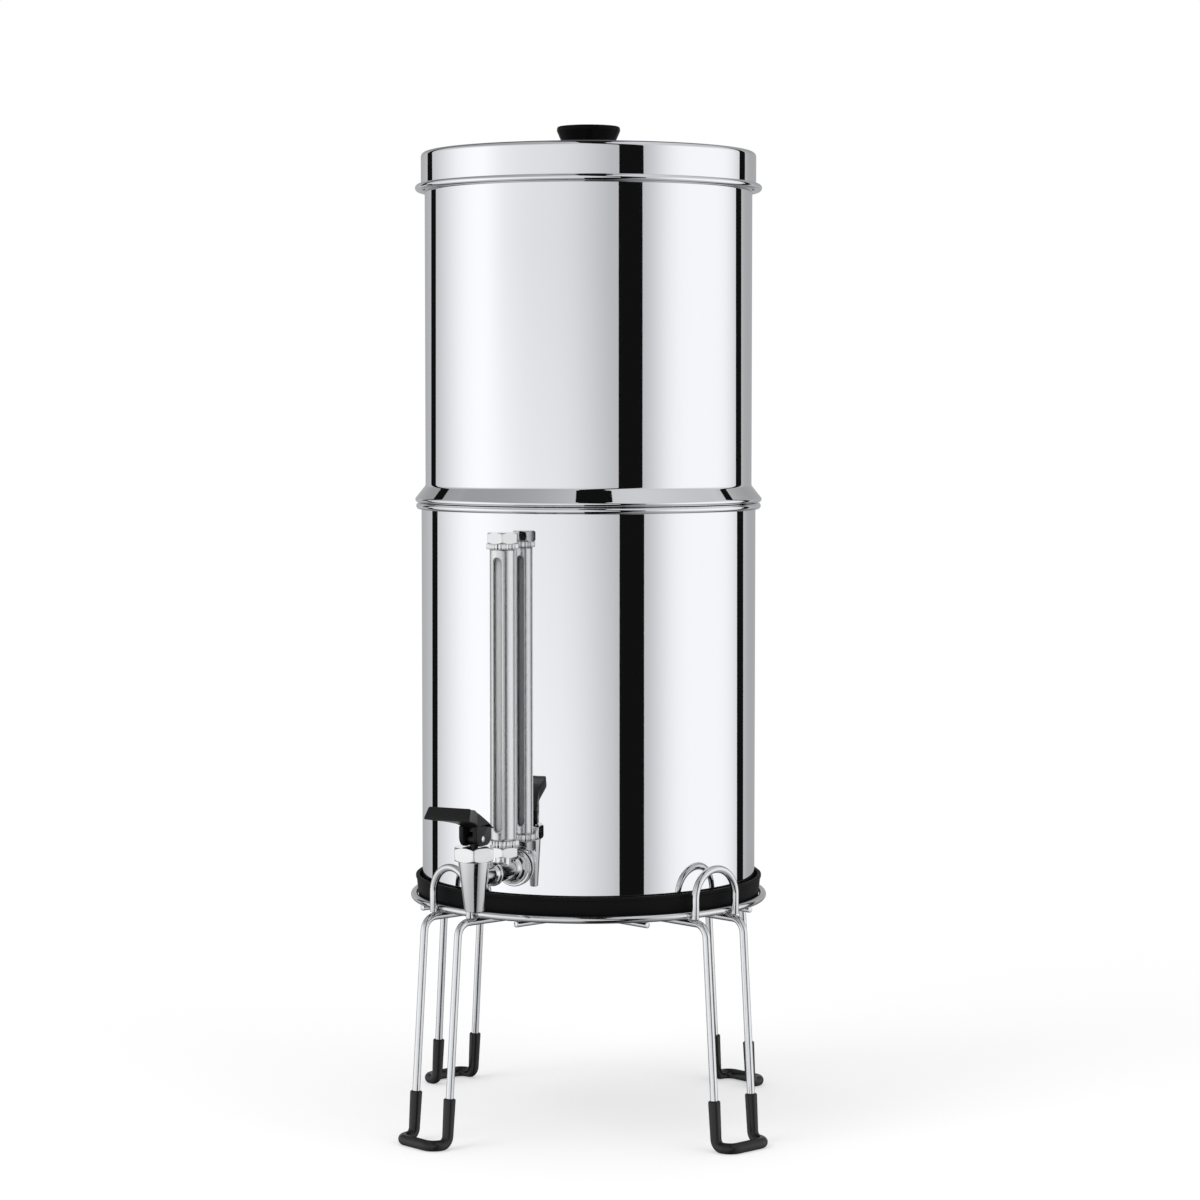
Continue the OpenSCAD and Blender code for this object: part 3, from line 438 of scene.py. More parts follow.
upper = {"sheet": 1.0, "floor": 389.2, "corner": 5.0, "flareFoot": 8.7, "flareRise": 11.0, "footBend": 1.2,
         "lip": 1.8, "neckBend": 3.0, "mouth": 640.5, "hemWidth": 1.8, "hemDepth": 6.0, "hemFold": 0.8,
         "hemRoll": 0.89, "hemOverlap": 0.05}
rUp, zFlare, zMouth = vessel["upperRadius"], vessel["flareHeight"], upper["mouth"]
wall = filleted([[0, upper["floor"]], [rUp, upper["floor"]], [rUp, zFlare],
                 [rUp + upper["flareFoot"], zFlare], [rUp, zFlare + upper["flareRise"]],
                 [rUp, zMouth - upper["hemWidth"]]],
                [0, upper["corner"], upper["footBend"], upper["lip"], upper["neckBend"], 0])
# The hem keeps inside the sheet below its roll, so that no two faces share a place
rHem, rSheet = rUp - upper["hemWidth"], rUp - upper["sheet"] / 2
zHem, zRoll = zMouth - upper["hemDepth"], zMouth - upper["hemWidth"] - upper["hemOverlap"]
hem = filleted([[rHem, zHem], [rSheet, zHem], [rSheet, zRoll], [rUp, zRoll], [rUp, zMouth], [rHem, zMouth]],
               [upper["hemFold"], 0, 0, 0, upper["hemRoll"], upper["hemRoll"]], closed=True)
makePiece("upperChamber", spunSheet(wall, upper["sheet"], hem), "upper_vessel", mirrorSteel,
          ["upper_chamber"], 50)

lid = {"radius": 110.8, "skirt": 25.6, "shoulder": 3.0, "bead": 2.3, "beadOut": 0.3, "crown": 0.8,
       "crownBend": 2.0, "sheet": 1.0, "flat": 21.0}
zLid = vessel["lidHeight"]
zCrown, zBead = zLid + lid["crown"], zLid - lid["skirt"] + lid["bead"]
wall = filleted([[lid["radius"], zBead], [lid["radius"], zLid], [lid["flat"], zCrown], [0, zCrown]],
                [0, lid["shoulder"], lid["crownBend"], 0], steps=14)
rolled = circleProfile(lid["radius"] - lid["sheet"] + lid["bead"] + lid["beadOut"], zBead, lid["bead"])
makePiece("lidShell", spunSheet(wall, lid["sheet"], rolled), "lid", mirrorSteel, ["lid"],
          50)

# Roundings go from corner to corner in the order of the profile
knob = {"height": 17.0, "radius": 21.0, "foot": 15.2, "waistOut": 0.53, "waistUp": 0.44, "rimDrop": 3.2,
        "topIn": 0.3, "topDrop": 0.5, "roundings": [0, 0.8, 20, 1.4, 1.3, 8, 0]}
zKnob = zCrown + knob["height"]
waist = (1 - knob["waistOut"]) * knob["foot"] + knob["waistOut"] * knob["radius"]
profile = filleted([[0, zCrown], [knob["foot"], zCrown], [waist, zCrown + knob["waistUp"] * knob["height"]],
                    [knob["radius"], zKnob - knob["rimDrop"]],
                    [knob["radius"] - knob["topIn"], zKnob - knob["topDrop"]], [knob["radius"] / 2, zKnob],
                    [0, zKnob]], knob["roundings"])
makePiece("knobTurned", [turned(profile, segments=160, closed=False)], "lid", knobPlastic,
          ["lid_knob"], 60)

band = {"base": 147.3, "foot": 113.5, "top": 115.0, "height": 16.2, "wall": 1.9, "floor": 2.2, "inner": 97.0,
        "lip": 0.5, "lipSlope": 2.4, "lipFoot": 2.0, "lipTop": 0.5, "lipIn": 0.2, "hollow": 1.6,
        "roundings": [0.5, 1.2, 0.3, 0.3, 0.3, 0.3, 0.4, 0.5, 0.5, 0.5]}
zBand, zEdge, zFloor = band["base"], band["base"] + band["height"], band["base"] + band["floor"]
rLip, rHollow = band["top"] + band["lip"], band["foot"] - band["wall"]
profile = filleted([[band["inner"], zBand], [band["foot"], zBand], [band["top"], zEdge - band["lipSlope"]],
                    [rLip, zEdge - band["lipFoot"]], [rLip, zEdge - band["lipTop"]],
                    [band["top"] - band["lipIn"], zEdge], [band["top"] - band["wall"], zEdge],
                    [rHollow, zFloor + band["hollow"]], [rHollow - band["hollow"], zFloor],
                    [band["inner"], zFloor]], band["roundings"], closed=True, steps=4)
makePiece("bandMoulded", [turned(profile, segments=300)], "lower_vessel", bandRubber,
          ["base_band"], 40)
print("vessel made")


# Tap

tap = {"top": 10.0, "foot": 6.0, "above": 11.8, "below": 20.0, "shoulder": 0.6, "shoulderIn": 0.5,
       "bore": 3.6, "boreDepth": 9.0, "shank": 4.5, "shankStart": 96.0, "shankShort": 2.0}
zTap, out = vessel["tapHeight"], vessel["tapOut"]
atTap, atGauge = (0, -out), (0, -vessel["gaugeOut"])
zSpout, zBonnet, zBore = zTap - tap["below"], zTap + tap["above"], zTap - tap["below"] + tap["boreDepth"]
profile = filleted([[tap["bore"], zBore], [tap["bore"], zSpout], [tap["foot"], zSpout],
                    [tap["top"], zBonnet - tap["shoulder"]], [tap["top"] - tap["shoulderIn"], zBonnet],
                    [0, zBonnet]], [0, 0.3, 0.5, 0.5, 0.2, 0])
spout = np.vstack([[[0, zBore]], profile])
shankEnd = out - tap["shankShort"]
shank = filleted([[0, tap["shankStart"]], [tap["shank"], tap["shankStart"]], [tap["shank"], shankEnd],
                  [0, shankEnd]], [0, 0.6, 0.2, 0])
makePiece("spoutBody", [turned(spout, atTap, 128, False), turnedOnShank(shank, closed=False)], "lower_vessel",
          turnedSteel, ["tap_body"])


def hexagonal(across, height, base, chamfer, centre, degrees, segments=216):
    # Radius = the smaller of the hexagon's, half / cos(angle off the flat), and that of a chamfer's cone,
    # which starts just outside the flats and opens by its slope
    worn, land, slope = 0.18, 0.1, 1.5
    a = np.linspace(0, 2 * np.pi, segments, endpoint=False)
    off = np.mod(a - np.radians(degrees), np.pi / 3) - np.pi / 6
    corner = across / 2 / np.cos(np.pi / 6)
    rim = np.minimum(across / 2 / np.cos(off), corner - worn)
    s = chamfer * np.array([0, 0.2, 0.45, 0.7, 1.0])
    rise = np.r_[s, height / 2, height - s[::-1]]
    cone = across / 2 + land + slope * np.minimum(rise, height - rise)
    return stackedRings(a, np.minimum(rim[None], cone[:, None]), rise, base, centre)


def onShank(v):
    # A bored piece: its outline's (radius, distance from its start), closed by the bore
    outside = [[radius, v["start"] + along] for radius, along in v["outline"]]
    corners = [[v["bore"], outside[0][1]]] + outside + [[v["bore"], outside[-1][1]]]
    return turnedOnShank(filleted(corners, v["roundings"], closed=True))


bonnet = {"across": 24.1, "height": 8.8, "chamfer": 1.2, "turn": -5}
hexagon = hexagonal(bonnet["across"], bonnet["height"], zBonnet, bonnet["chamfer"], atTap, bonnet["turn"])
makePiece("bonnetNut", [hexagon], "lower_vessel", turnedSteel, ["tap_bonnet"], 25)

washer = {"start": 112.05, "bore": 4.6, "outline": [(12.0, 0), (12.0, 1.6), (11.5, 2.1)],
          "roundings": [0, 0.2, 0.3, 0.3, 0]}
makePiece("wallWasher", [onShank(washer)], "lower_vessel", turnedSteel, ["wall_washer"])

spool = {"start": 114.2, "bore": 4.6, "neckRadius": 5.0, "neckHeight": 13.4, "neckEdge": 0.3,
         "outline": [(10.4, 0), (10.4, 1.1), (10.0, 1.5), (9.4, 1.6), (8.0, 2.6), (7.0, 3.8), (6.4, 5.6),
                     (6.4, 27.6)],
         "roundings": [0, 0.3, 0.2, 0.1, 0.4, 1.5, 2, 3, 0.3, 0]}
zNeck = zTap + spool["neckHeight"]
neck = filleted([[0, zTap], [spool["neckRadius"], zTap], [spool["neckRadius"], zNeck], [0, zNeck]],
                [0, 0, spool["neckEdge"], 0])
makePiece("gaugeSpool", [onShank(spool), turned(neck, atGauge, 96, False)], "lower_vessel",
          turnedSteel, ["gauge_block"])

collar = {"start": 141.85, "bore": 4.6,
          "outline": [(7.25, 0), (7.75, 0.6), (7.75, 1.8), (7.25, 2.4), (6.4, 3), (5.8, 4.2), (5.5, 6),
                      (5.5, 17.14)],
          "roundings": [0, 0.3, 0.3, 0.4, 0.3, 0.5, 1.5, 2.5, 0.3, 0]}
makePiece("collarTurned", [onShank(collar)], "lower_vessel", turnedSteel, ["front_collar"])
print("tap made")


# Sight gauge

gauge = {"across": 18.7, "chamfer": 0.9, "turn": -5, "nutBase": 190.4, "nutHeight": 6.1, "knurl": 10.2,
         "teeth": 30, "tooth": 0.45, "sleeveBase": 200.8, "sleeveHeight": 184.4, "sleeveRadius": 8.15,
         "wall": 1.2, "window": 6.5, "margin": 5.5, "socket": 4.3, "collar": 3.6, "cap": 6.9, "glass": 5.5,
         "glassWall": 1.3, "glassEdge": 0.3}


def knurled(v, height, base, centre, segments=480):
    # Radius = rim - tooth * (half - half * cos(teeth * angle)) ^ fullness - drop, and without the teeth at
    # the two ends themselves
    fullness = 0.7
    inward, drop = np.array([(0, 0.45), (0.15, 0.15), (0.4, 0)]).T  # distance from an end, drop there
    a = np.linspace(0, 2 * np.pi, segments, endpoint=False)
    wave = v["tooth"] * (0.5 - 0.5 * np.cos(v["teeth"] * a)) ** fullness
    rise = np.r_[inward, height - inward[::-1]]
    drop = np.r_[drop, drop[::-1]][:, None]
    return stackedRings(a, v["knurl"] - wave * (drop < drop.max()) - drop, rise, base, centre)


def slottedSleeve(g, centre):
    # A tube whose front and back have a slot with half-round ends: at angle t off the slot's middle the slot
    # reaches down to low - sqrt(half^2 - (radius sin t)^2), and the wall below, above and beside it is a grid
    radius, base, height = g["sleeveRadius"], g["sleeveBase"], g["sleeveHeight"]
    half, low = g["window"] / 2, g["margin"] + g["window"] / 2
    edge = np.arcsin(half / radius)
    t = edge * np.sin(np.linspace(-np.pi / 2, np.pi / 2, 33))
    bow = np.sqrt(np.maximum(half ** 2 - (radius * np.sin(t)) ** 2, 0))
    s = np.linspace(0, 1, 7)[:, None]
    surfaces = []

    def patch(angle, z):
        x, y = centre[0] + radius * np.sin(angle), centre[1] - radius * np.cos(angle)
        points = np.stack([x, y, base + z], -1)
        surfaces.append((points.reshape(-1, 3), [gridFaces(*z.shape, wrapColumns=False)]))

    for middle in (0, np.pi):
        angle = middle + t[None] + 0 * s
        patch(angle, s * (low - bow)[None])
        patch(angle, height - s * (low - bow)[None])
        web = middle + np.linspace(edge, np.pi - edge, 41)[None]
        ladder = np.r_[s[:, 0] * low, height - s[::-1, 0] * low][:, None]
        patch(web + 0 * ladder, ladder + 0 * web)
    return surfaces


hexagon = hexagonal(gauge["across"], gauge["nutHeight"], gauge["nutBase"], gauge["chamfer"], atGauge,
                    gauge["turn"])
makePiece("gaugeNut", [hexagon], "lower_vessel", turnedSteel, ["gauge_nut"], 25)
socket = knurled(gauge, gauge["socket"], gauge["sleeveBase"] - gauge["socket"], atGauge)
makePiece("gaugeSocket", [socket], "lower_vessel", turnedSteel, ["gauge_socket"])
sleeveTube = makePiece("gaugeSleeve", slottedSleeve(gauge, atGauge), "lower_vessel", satinSteel,
                       ["gauge_sleeve"])
shell = sleeveTube.modifiers.new("wall", "SOLIDIFY")
shell.thickness = gauge["wall"] / perMetre
shell.offset = -1
sleeveTop = gauge["sleeveBase"] + gauge["sleeveHeight"]
makePiece("gaugeCollar", [knurled(gauge, gauge["collar"], sleeveTop, atGauge)], "lower_vessel",
          turnedSteel, ["gauge_collar"])
hexagon = hexagonal(gauge["across"], gauge["cap"], sleeveTop + gauge["collar"], gauge["chamfer"], atGauge,
                    gauge["turn"])
makePiece("gaugeCap", [hexagon], "lower_vessel", turnedSteel, ["gauge_cap"], 25)
zFoot, zHead = [corner.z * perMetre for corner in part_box("gauge_glass")]
rGlass, rBore = gauge["glass"], gauge["glass"] - gauge["glassWall"]
profile = filleted([[rBore, zFoot], [rGlass, zFoot], [rGlass, zHead], [rBore, zHead]],
                   [gauge["glassEdge"]] * 4, closed=True, steps=3)
makePiece("glassTube", [turned(profile, atGauge, 64)], "lower_vessel", clearGlass,
          ["gauge_glass"])
print("gauge made")


# Lever

lever = {"pinHeight": 206.5, "forkWidth": 12.6, "earThick": 3.0, "front": 8.7, "back": 11.7, "corner": 6.3,
         "earTop": 8.6, "earRise": 0.2, "earBack": 6.6, "earStep": 3.0, "earEdge": 0.45, "earRounding": 0.5,
         "pinUp": 4.9, "gap": 0.4, "reach": 37.8, "bladeWidth": 31.0, "up": 23.0, "thick": 7.5, "edge": 1.1,
         "rounding": 0.24, "frontPush": (0.75, 0, 0.35), "tailPush": (-0.5, 0, -0.1), "rimDepth": 8.0,
         "topBack": 5.4, "lowBack": 0.4, "lowRise": 0.2, "spreadFrom": 1.0, "spreadTo": 2.0,
         "topLine": [(-13.7, 5.9), (-9.6, 8.9), (-2.7, 12.7), (4.2, 16.3), (9.6, 18.5), (14.5, 19.9),
                     (20.5, 20.8), (28.5, 21.9)],
         "bottomLine": [(-13.7, 5.1), (-9.6, 6.2), (-2.7, 7.0), (5.5, 7.4), (10.2, 9.9), (15.0, 11.2),
                        (21.5, 12.7), (29.5, 14.1)]}


def smoothLine(corners, stations=65, rounds=3):
    # Even steps along the corners, then each inner point moves to (before + 2 * itself + after) / 4
    corners = np.array(corners)
    at, u = np.linspace(0, 1, len(corners)), np.linspace(0, 1, stations)
    line = np.stack([np.interp(u, at, corners[:, i]) for i in (0, 1)], 1)
    for _ in range(rounds):
        line[1:-1] = (line[:-2] + 2 * line[1:-1] + line[2:]) / 4
    return line


def leverBlade(v):
    # Sections from tail to front edge, each a rounded box between a bottom and a top line of the side view,
    # as wide as the plan at that reach; sections lean forward at the front edge
    top = smoothLine(v["topLine"] + [(v["reach"] - v["topBack"], v["up"])])
    bottom = smoothLine(v["bottomLine"] + [(v["reach"] - v["lowBack"], v["up"] - v["thick"] + v["lowRise"])])
    ring = filleted([[-1, -1], [1, -1], [1, 1], [-1, 1]], [v["rounding"]] * 4, closed=True, steps=5)
    s, t = ring[:, 0][None], (ring[:, 1][None] + 1) / 2
    f = bottom[:, :1] + (top - bottom)[:, :1] * t
    z = bottom[:, 1:] + (top - bottom)[:, 1:] * t
    halfFork, halfBlade = v["forkWidth"] / 2, v["bladeWidth"] / 2
    width = np.interp(f, [v["front"] - v["spreadFrom"], v["reach"] - v["spreadTo"]], [halfFork, halfBlade])
    # The corners' rounding is the same share of the thickness across the whole width
    inset = np.where(np.abs(s) > 0.5, 1 - np.abs(s), 0)
    points = np.stack([f, np.sign(s) * (width - inset * v["thick"] / 2), z], -1)
    # Rounded rims at the two ends, each in three steps out from the last section
    rimSteps = (0.35, 0.7, 1.0)
    size = np.array([v["rimDepth"], halfBlade, v["thick"] / 2])
    rims = []
    for rim, push in ((points[0], v["tailPush"]), (points[-1], v["frontPush"])):
        middle = rim.mean(0)
        rims.append([middle + (rim - middle) * (1 - v["edge"] * (1 - np.sqrt(1 - share ** 2)) / size)
                     + np.array(push) * share for share in rimSteps])
    points = np.concatenate([rims[0][::-1], points, rims[1]])
    return points, cappedGrid(*points.shape[:2])


def toTap(points, v):
    # Lever axes (forward, right, up) from the pin go to the vessel's: forward is -Y
    p = points.reshape(-1, 3)
    return np.stack([p[:, 1], -out - p[:, 0], v["pinHeight"] + p[:, 2]], -1)


def earPlate(v, side):
    # The ear's outline carried across its thickness, with both rims rounded
    low = v["gap"] - v["pinUp"]
    outline = filleted([[v["front"], low], [v["front"], v["earTop"]],
                        [v["earStep"] - v["back"], v["earTop"] + v["earRise"]], [-v["back"], v["earBack"]],
                        [-v["back"], low]],
                       [v["corner"]] + [v["earRounding"]] * 3 + [v["corner"]], closed=True, steps=10)
    middle = outline.mean(0)
    share = np.array([0, 0.06, 0.2, 0.5, 0.8, 0.94, 1.0])
    inset = v["earEdge"] * np.array([1, 0.4, 0, 0, 0, 0.4, 1.0])
    size = np.abs(outline - middle).max(0)
    ring = middle + (outline - middle)[None] * (1 - inset[:, None, None] / size)
    across = side * (v["forkWidth"] / 2 - v["earThick"] * (1 - share))
    points = np.stack([ring[..., 0], np.broadcast_to(across[:, None], ring.shape[:2]), ring[..., 1]], -1)
    return points, cappedGrid(*points.shape[:2])


parts = [leverBlade(lever), earPlate(lever, -1), earPlate(lever, 1)]
makePiece("leverMoulded", [(toTap(points, lever), faces) for points, faces in parts], "lever",
          leverPlastic, ["tap_lever"], 42)

pin = {"radius": 1.25, "half": 6.3, "head": 2.0, "headOut": 0.2, "headIn": 0.1, "neckIn": 0.2, "dome": 0.75}
halfPin = [[pin["radius"], pin["half"] - pin["neckIn"]], [pin["head"], pin["half"] - pin["headIn"]],
           [pin["head"], pin["half"] + pin["headOut"]], [0, pin["half"] + pin["dome"]]]
profile = filleted([[r, -x] for r, x in halfPin[::-1]] + halfPin, [0, 0.3, 0.05, 0, 0, 0.05, 0.3, 0])
a = np.linspace(0, 2 * np.pi, 48, endpoint=False)
r, x = profile[:, :1], profile[:, 1:]
points = np.stack([x + 0 * a, -out + r * np.cos(a), lever["pinHeight"] + r * np.sin(a)], -1).reshape(-1, 3)
makePiece("pinRivet", [(points, [gridFaces(len(profile), len(a))])], "lever", turnedSteel,
          ["lever_pin"], 50)
print("lever made")


# CAD nodes that stay, with their finishes, and painted shade on the tap's stem

# The tap stem's material is painted shade, the others are the parts' own finishes
finishesAndShade = {"tap_stem": stemPaintedShade, "seat_cup": siliconeWhite, "tap_spring": plainSteel,
            "valve_diaphragm": siliconeWhite, "outer_gasket": gasketRubber, "inner_gasket": gasketRubber,
            "inner_nut": plainSteel, "gauge_seals": siliconeWhite, "filter_1": carbonBlock,
            "filter_2": carbonBlock, "filter_cap_1": capPlastic, "filter_cap_2": capPlastic,
            "filter_washers": siliconeWhite, "filter_nuts": capPlastic, "knob_screw": plainSteel,
            "knob_washer": plainSteel}
for name, material in finishesAndShade.items():
    if not nodes[name].material_slots:
        nodes[name].data.materials.append(material)
    for place in nodes[name].material_slots:
        place.material = material
print("finishes set")


# Studio: floor, dome of light, lamps, camera

studio = {"view": 25.0, "domeRadius": 6.0, "domeCentre": 0.22, "flagTone": 0.006, "wallTone": 0.42,
          "ceilingTone": 0.34, "ceilingFrom": 12, "ceilingOver": 30, "tint": (0.985, 0.99, 1.012),
          "skyLevel": 0.88, "lampAim": 0.3}
# Soft lights on the wall: each is brightest at its place, in degrees to the right of the camera, and fades
# over its width
softLights = {"leftSoft": {"place": -82, "width": 45, "level": 0.66, "edge": 2},
              "frontFill": {"place": -15, "width": 35, "level": 0.36, "edge": 2},
              "rightSoft": {"place": 86, "width": 42, "level": 0.62, "edge": 4}}
# One more on the ceiling, its place and width as shares of the dome's radius to the right
topLight = {"place": 0.35, "width": 0.6, "level": 0.33}
# Between these angles the wall darkens a little towards the top, by an amount for each degree of height
leftTilt = {"amount": 0.014, "start": -75, "rampIn": 15, "end": 25, "rampOut": 10, "most": 6}
# Share of the tone that is left at each elevation, for the half in front of the vessel and for the half
# behind it, and how the front's gives way to the back's at both sides
frontShares = [(-90, 0.08), (-68, 0.14), (-56, 0.4), (-38, 0.46), (-22, 0.62), (-15, 0.86), (-9, 1.0),
               (75.5, 1.0), (79, 0.2), (83, 0.05), (90, 0.05)]
backShares = [(-90, 0.08), (-56, 0.1), (-36, 0.3), (-14, 0.6), (-8, 1.0), (8, 1.0), (20, 0.75), (44, 0.4),
              (52, 0.07), (90, 0.05)]
sideTurn = {"offset": 2.6, "slope": 3.0}
# Elevations at which the edges of the three black flags are set, and each flag's two edges there
flagHeights = [-90, -22, -9.8, -0.6, -0.1, 0.1, 7.3, 12, 30, 46, 62, 77, 86, 90]
blackFlags = [([-137, -137, -137, -135.1, -135, -146, -143.7, -143, -142, -142, -142, -142, -142, -142],
               [-126.4, -126.4, -127.4, -125.9, -125.8, -135.4, -133.6, -134, -134, -137, -140, -140, -140,
                -140]),
              ([-4, -3, 20.8, 20.7, 20.7, 20.6, 20.5, 20, 4, -6.9, -10.2, -21.6, -80, -88],
               [28, 30, 37.9, 37.7, 37.7, 37.5, 37.3, 36, 22, 12.4, 18.5, 41.4, 80, 88]),
              ([123.6, 123.6, 123.6, 122.2, 122.1, 126, 124.7, 125, 126, 130, 130, 130, 130, 130],
               [134.1, 134.1, 134.1, 132.4, 132.3, 135.6, 134.1, 134, 133, 132, 132, 132, 132, 132])]


def glowMaterial(name):
    # Glows with the tone that each point of the surface carries
    material = bpy.data.materials.new(name)
    material.use_nodes = True
    tree = material.node_tree
    tree.nodes.clear()
    tone = tree.nodes.new("ShaderNodeAttribute")
    tone.attribute_name = "tone"
    glow = tree.nodes.new("ShaderNodeEmission")
    result = tree.nodes.new("ShaderNodeOutputMaterial")
    tree.links.new(tone.outputs["Color"], glow.inputs["Color"])
    tree.links.new(glow.outputs["Emission"], result.inputs["Surface"])
    return material


def lightSurface(name, points, faces, tones, material):
    # Seen in reflections alone: colour = tone * tint
    mesh = bpy.data.meshes.new(name)
    mesh.from_pydata(points.tolist(), [], faces.tolist())
    colors = np.ones((len(points), 4))
    colors[:, :3] = tones[:, None] * studio["tint"]
    mesh.attributes.new("tone", "FLOAT_COLOR", "POINT").data.foreach_set("color", colors.ravel())
    mesh.materials.append(material)
    surface = bpy.data.objects.new(name, mesh)
    scene.collection.objects.link(surface)
    surface.visible_camera = surface.visible_diffuse = surface.visible_shadow = False
    surface.visible_transmission = False


def wallTone(angle, height):
    # Tone = the room's own + the sum of level * exp(-(|angle - place| / width) ^ edge), tilted on the left
    tone = studio["wallTone"]
    for light in softLights.values():
        off = np.abs(angle - light["place"]) / light["width"]
        tone = tone + light["level"] * np.exp(-off ** light["edge"])
    part = (np.clip((angle - leftTilt["start"]) / leftTilt["rampIn"], 0, 1)
            * np.clip((leftTilt["end"] - angle) / leftTilt["rampOut"], 0, 1))
    return tone * (1 - leftTilt["amount"] * part * np.clip(height, -leftTilt["most"], leftTilt["most"]))


def ceilingTone(toTheRight):
    # Tone = the room's own + level * exp(-((place to the right - the light's place) / width) ^ 2)
    off = (toTheRight - topLight["place"]) / topLight["width"]
    return studio["ceilingTone"] + topLight["level"] * np.exp(-off ** 2)


def shareLeft(angle, height):
    # Front's part = offset + slope * cos(angle), from 0 to 1, and the back has the rest
    front = np.clip(sideTurn["offset"] + sideTurn["slope"] * np.cos(np.radians(angle)), 0, 1)
    return (front * np.interp(height, *np.array(frontShares).T)
            + (1 - front) * np.interp(height, *np.array(backShares).T))


# Columns run from edge to edge of the flags and bend with them, so a flag's edge is hard at every elevation.
# The rows, given as first elevation, last elevation and count, are close where the chambers mirror them.
rowCounts = [(-90, -24, 23), (-22, -0.1, 34), (0.1, 22, 34), (24, 90, 34)]
height = np.hstack([np.linspace(*rows) for rows in rowCounts])[:, None]
columnCounts = (24, 4, 130, 12, 110, 4, 32)
seam = 0.0002  # share of a stretch left between it and the next, so that the tone changes at once
edges = [np.interp(height, flagHeights, side) for flag in blackFlags for side in flag]
borders = [-180 + 0 * height] + edges + [180 + 0 * height]
stretches = [start + (end - start) * np.linspace(seam, 1 - seam, count)
             for start, end, count in zip(borders[:-1], borders[1:], columnCounts)]
angle = np.hstack(stretches)
isFlag = np.repeat([i % 2 == 1 for i in range(len(columnCounts))], columnCounts)
outward, upward = np.cos(np.radians(height)), np.sin(np.radians(height))
overhead = np.clip((height - studio["ceilingFrom"]) / studio["ceilingOver"], 0, 1)
onWall, onCeiling = wallTone(angle, height), ceilingTone(outward * np.sin(np.radians(angle)))
tone = (onWall + (onCeiling - onWall) * overhead) * shareLeft(angle, height)
tone[:, isFlag] = studio["flagTone"]
# Point = centre + radius * (cos elevation * sin world, -cos elevation * cos world, sin elevation)
world = np.radians(angle + studio["view"])
direction = np.stack([outward * np.sin(world), -outward * np.cos(world), upward + 0 * world], -1)
points = (studio["domeRadius"] * direction + [0, axisY, studio["domeCentre"]]).reshape(-1, 3)
lightSurface("softDome", points, gridFaces(*angle.shape), tone.ravel(), glowMaterial("softDome"))

ground = {"rings": [0.0, 0.4, 0.9, 1.6, 3.0], "segments": 96, "below": 0.0002, "spread": 0.9,
          "fullShare": 0.75, "most": 0.6, "pale": 0.95}


def paleFloor():
    # White far out, and towards the middle more and more of a pale cloth that takes the shadow
    material = bpy.data.materials.new("paleFloor")
    material.use_nodes = True
    tree = material.node_tree
    tree.nodes.clear()
    place = tree.nodes.new("ShaderNodeTexCoord")
    fade = tree.nodes.new("ShaderNodeTexGradient")
    fade.gradient_type = "SPHERICAL"
    scaled = tree.nodes.new("ShaderNodeMapping")
    scaled.inputs["Scale"].default_value = [ground["spread"]] * 3
    strength = tree.nodes.new("ShaderNodeMapRange")
    strength.inputs["From Max"].default_value = ground["fullShare"]
    strength.inputs["To Max"].default_value = ground["most"]
    cloth = tree.nodes.new("ShaderNodeBsdfDiffuse")
    cloth.inputs["Color"].default_value = [ground["pale"]] * 3 + [1]
    white = tree.nodes.new("ShaderNodeEmission")
    both = tree.nodes.new("ShaderNodeMixShader")
    result = tree.nodes.new("ShaderNodeOutputMaterial")
    tree.links.new(place.outputs["Object"], scaled.inputs["Vector"])
    tree.links.new(scaled.outputs["Vector"], fade.inputs["Vector"])
    tree.links.new(fade.outputs["Fac"], strength.inputs["Value"])
    tree.links.new(strength.outputs["Result"], both.inputs["Fac"])
    tree.links.new(white.outputs["Emission"], both.inputs[1])
    tree.links.new(cloth.outputs["BSDF"], both.inputs[2])
    tree.links.new(both.outputs["Shader"], result.inputs["Surface"])
    return material


a = np.linspace(0, 2 * np.pi, ground["segments"], endpoint=False)
r = np.array(ground["rings"])[:, None]
points = np.stack([r * np.cos(a), r * np.sin(a), 0 * r * a - ground["below"]], -1)
mesh = bpy.data.meshes.new("floor")
mesh.from_pydata(points.reshape(-1, 3).tolist(), [], gridFaces(*points.shape[:2]).tolist())
mesh.materials.append(paleFloor())
floor = bpy.data.objects.new("floor", mesh)
scene.collection.objects.link(floor)
floor.visible_glossy = False


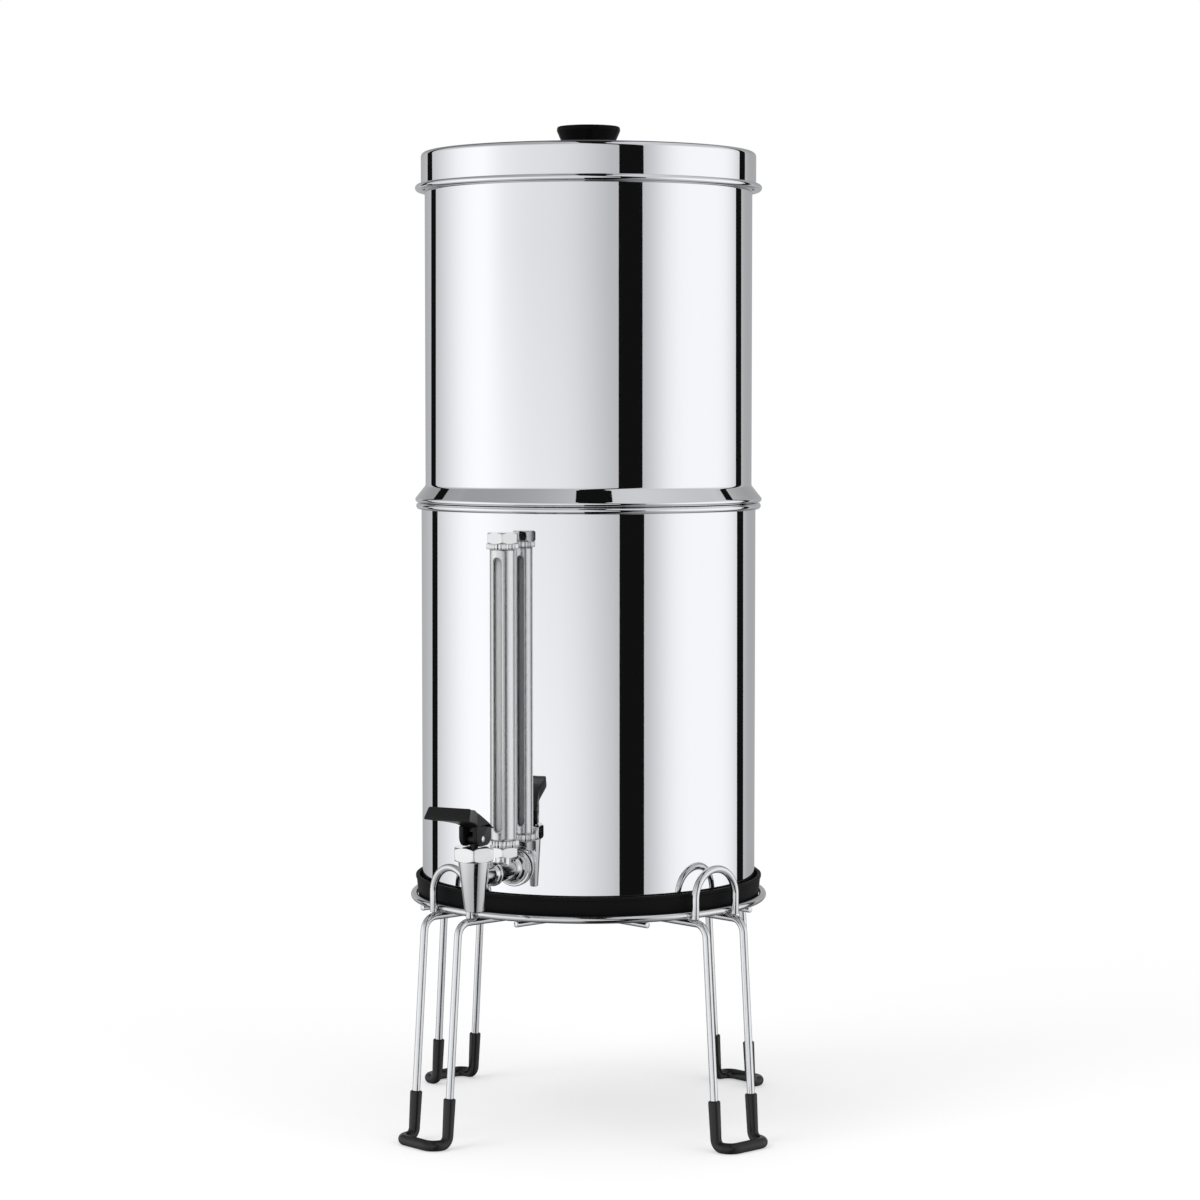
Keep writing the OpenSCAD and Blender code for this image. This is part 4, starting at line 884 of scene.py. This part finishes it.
def skyRoom():
    # White to the camera, in reflections and through glass, and a little darker as light
    room = bpy.data.worlds.new("room")
    room.use_nodes = True
    tree = room.node_tree
    tree.nodes.clear()
    path = tree.nodes.new("ShaderNodeLightPath")
    bright, soft = tree.nodes.new("ShaderNodeBackground"), tree.nodes.new("ShaderNodeBackground")
    for background, strength in ((bright, 1.0), (soft, studio["skyLevel"])):
        background.inputs["Color"].default_value = (1, 1, 1, 1)
        background.inputs["Strength"].default_value = strength
    seen, seenToo = tree.nodes.new("ShaderNodeMath"), tree.nodes.new("ShaderNodeMath")
    seen.operation = seenToo.operation = "MAXIMUM"
    both = tree.nodes.new("ShaderNodeMixShader")
    result = tree.nodes.new("ShaderNodeOutputWorld")
    tree.links.new(path.outputs["Is Camera Ray"], seen.inputs[0])
    tree.links.new(path.outputs["Is Glossy Ray"], seen.inputs[1])
    tree.links.new(seen.outputs["Value"], seenToo.inputs[0])
    tree.links.new(path.outputs["Is Transmission Ray"], seenToo.inputs[1])
    tree.links.new(seenToo.outputs["Value"], both.inputs["Fac"])
    tree.links.new(soft.outputs["Background"], both.inputs[1])
    tree.links.new(bright.outputs["Background"], both.inputs[2])
    tree.links.new(both.outputs["Shader"], result.inputs["Surface"])
    return room


scene.world = skyRoom()

lamps = [{"name": "keyLamp", "place": (-1.1, -1.9, 2.3), "size": 1.4, "power": 26},
         {"name": "fillLamp", "place": (1.9, -0.6, 1.6), "size": 1.6, "power": 12}]
for lamp in lamps:
    light = bpy.data.lights.new(lamp["name"], "AREA")
    light.size = lamp["size"]
    light.energy = lamp["power"]
    place = bpy.data.objects.new(lamp["name"], light)
    scene.collection.objects.link(place)
    x, y, z = lamp["place"]
    place.location = (x, y + axisY, z)
    down = np.arctan2(np.hypot(x, y), z - studio["lampAim"])
    place.rotation_euler = (down, 0, np.arctan2(y, x) + np.pi / 2)
    place.visible_glossy = False

camera = {"distance": 2.1477, "height": 0.4782, "tilt": 86.4737, "lens": 96.797, "sensor": 36,
          "shift": 0.00958}
view = np.radians(studio["view"])
seenBy = bpy.data.cameras.new("photoCamera")
seenBy.lens = camera["lens"]
seenBy.sensor_width = camera["sensor"]
seenBy.sensor_fit = "HORIZONTAL"
seenBy.shift_x = camera["shift"]
eye = bpy.data.objects.new("photoCamera", seenBy)
scene.collection.objects.link(eye)
back = camera["distance"]
eye.location = (back * np.sin(view), axisY - back * np.cos(view), camera["height"])
eye.rotation_euler = (np.radians(camera["tilt"]), 0, view)
scene.camera = eye
scene.view_settings.view_transform = "Standard"
print("studio made")
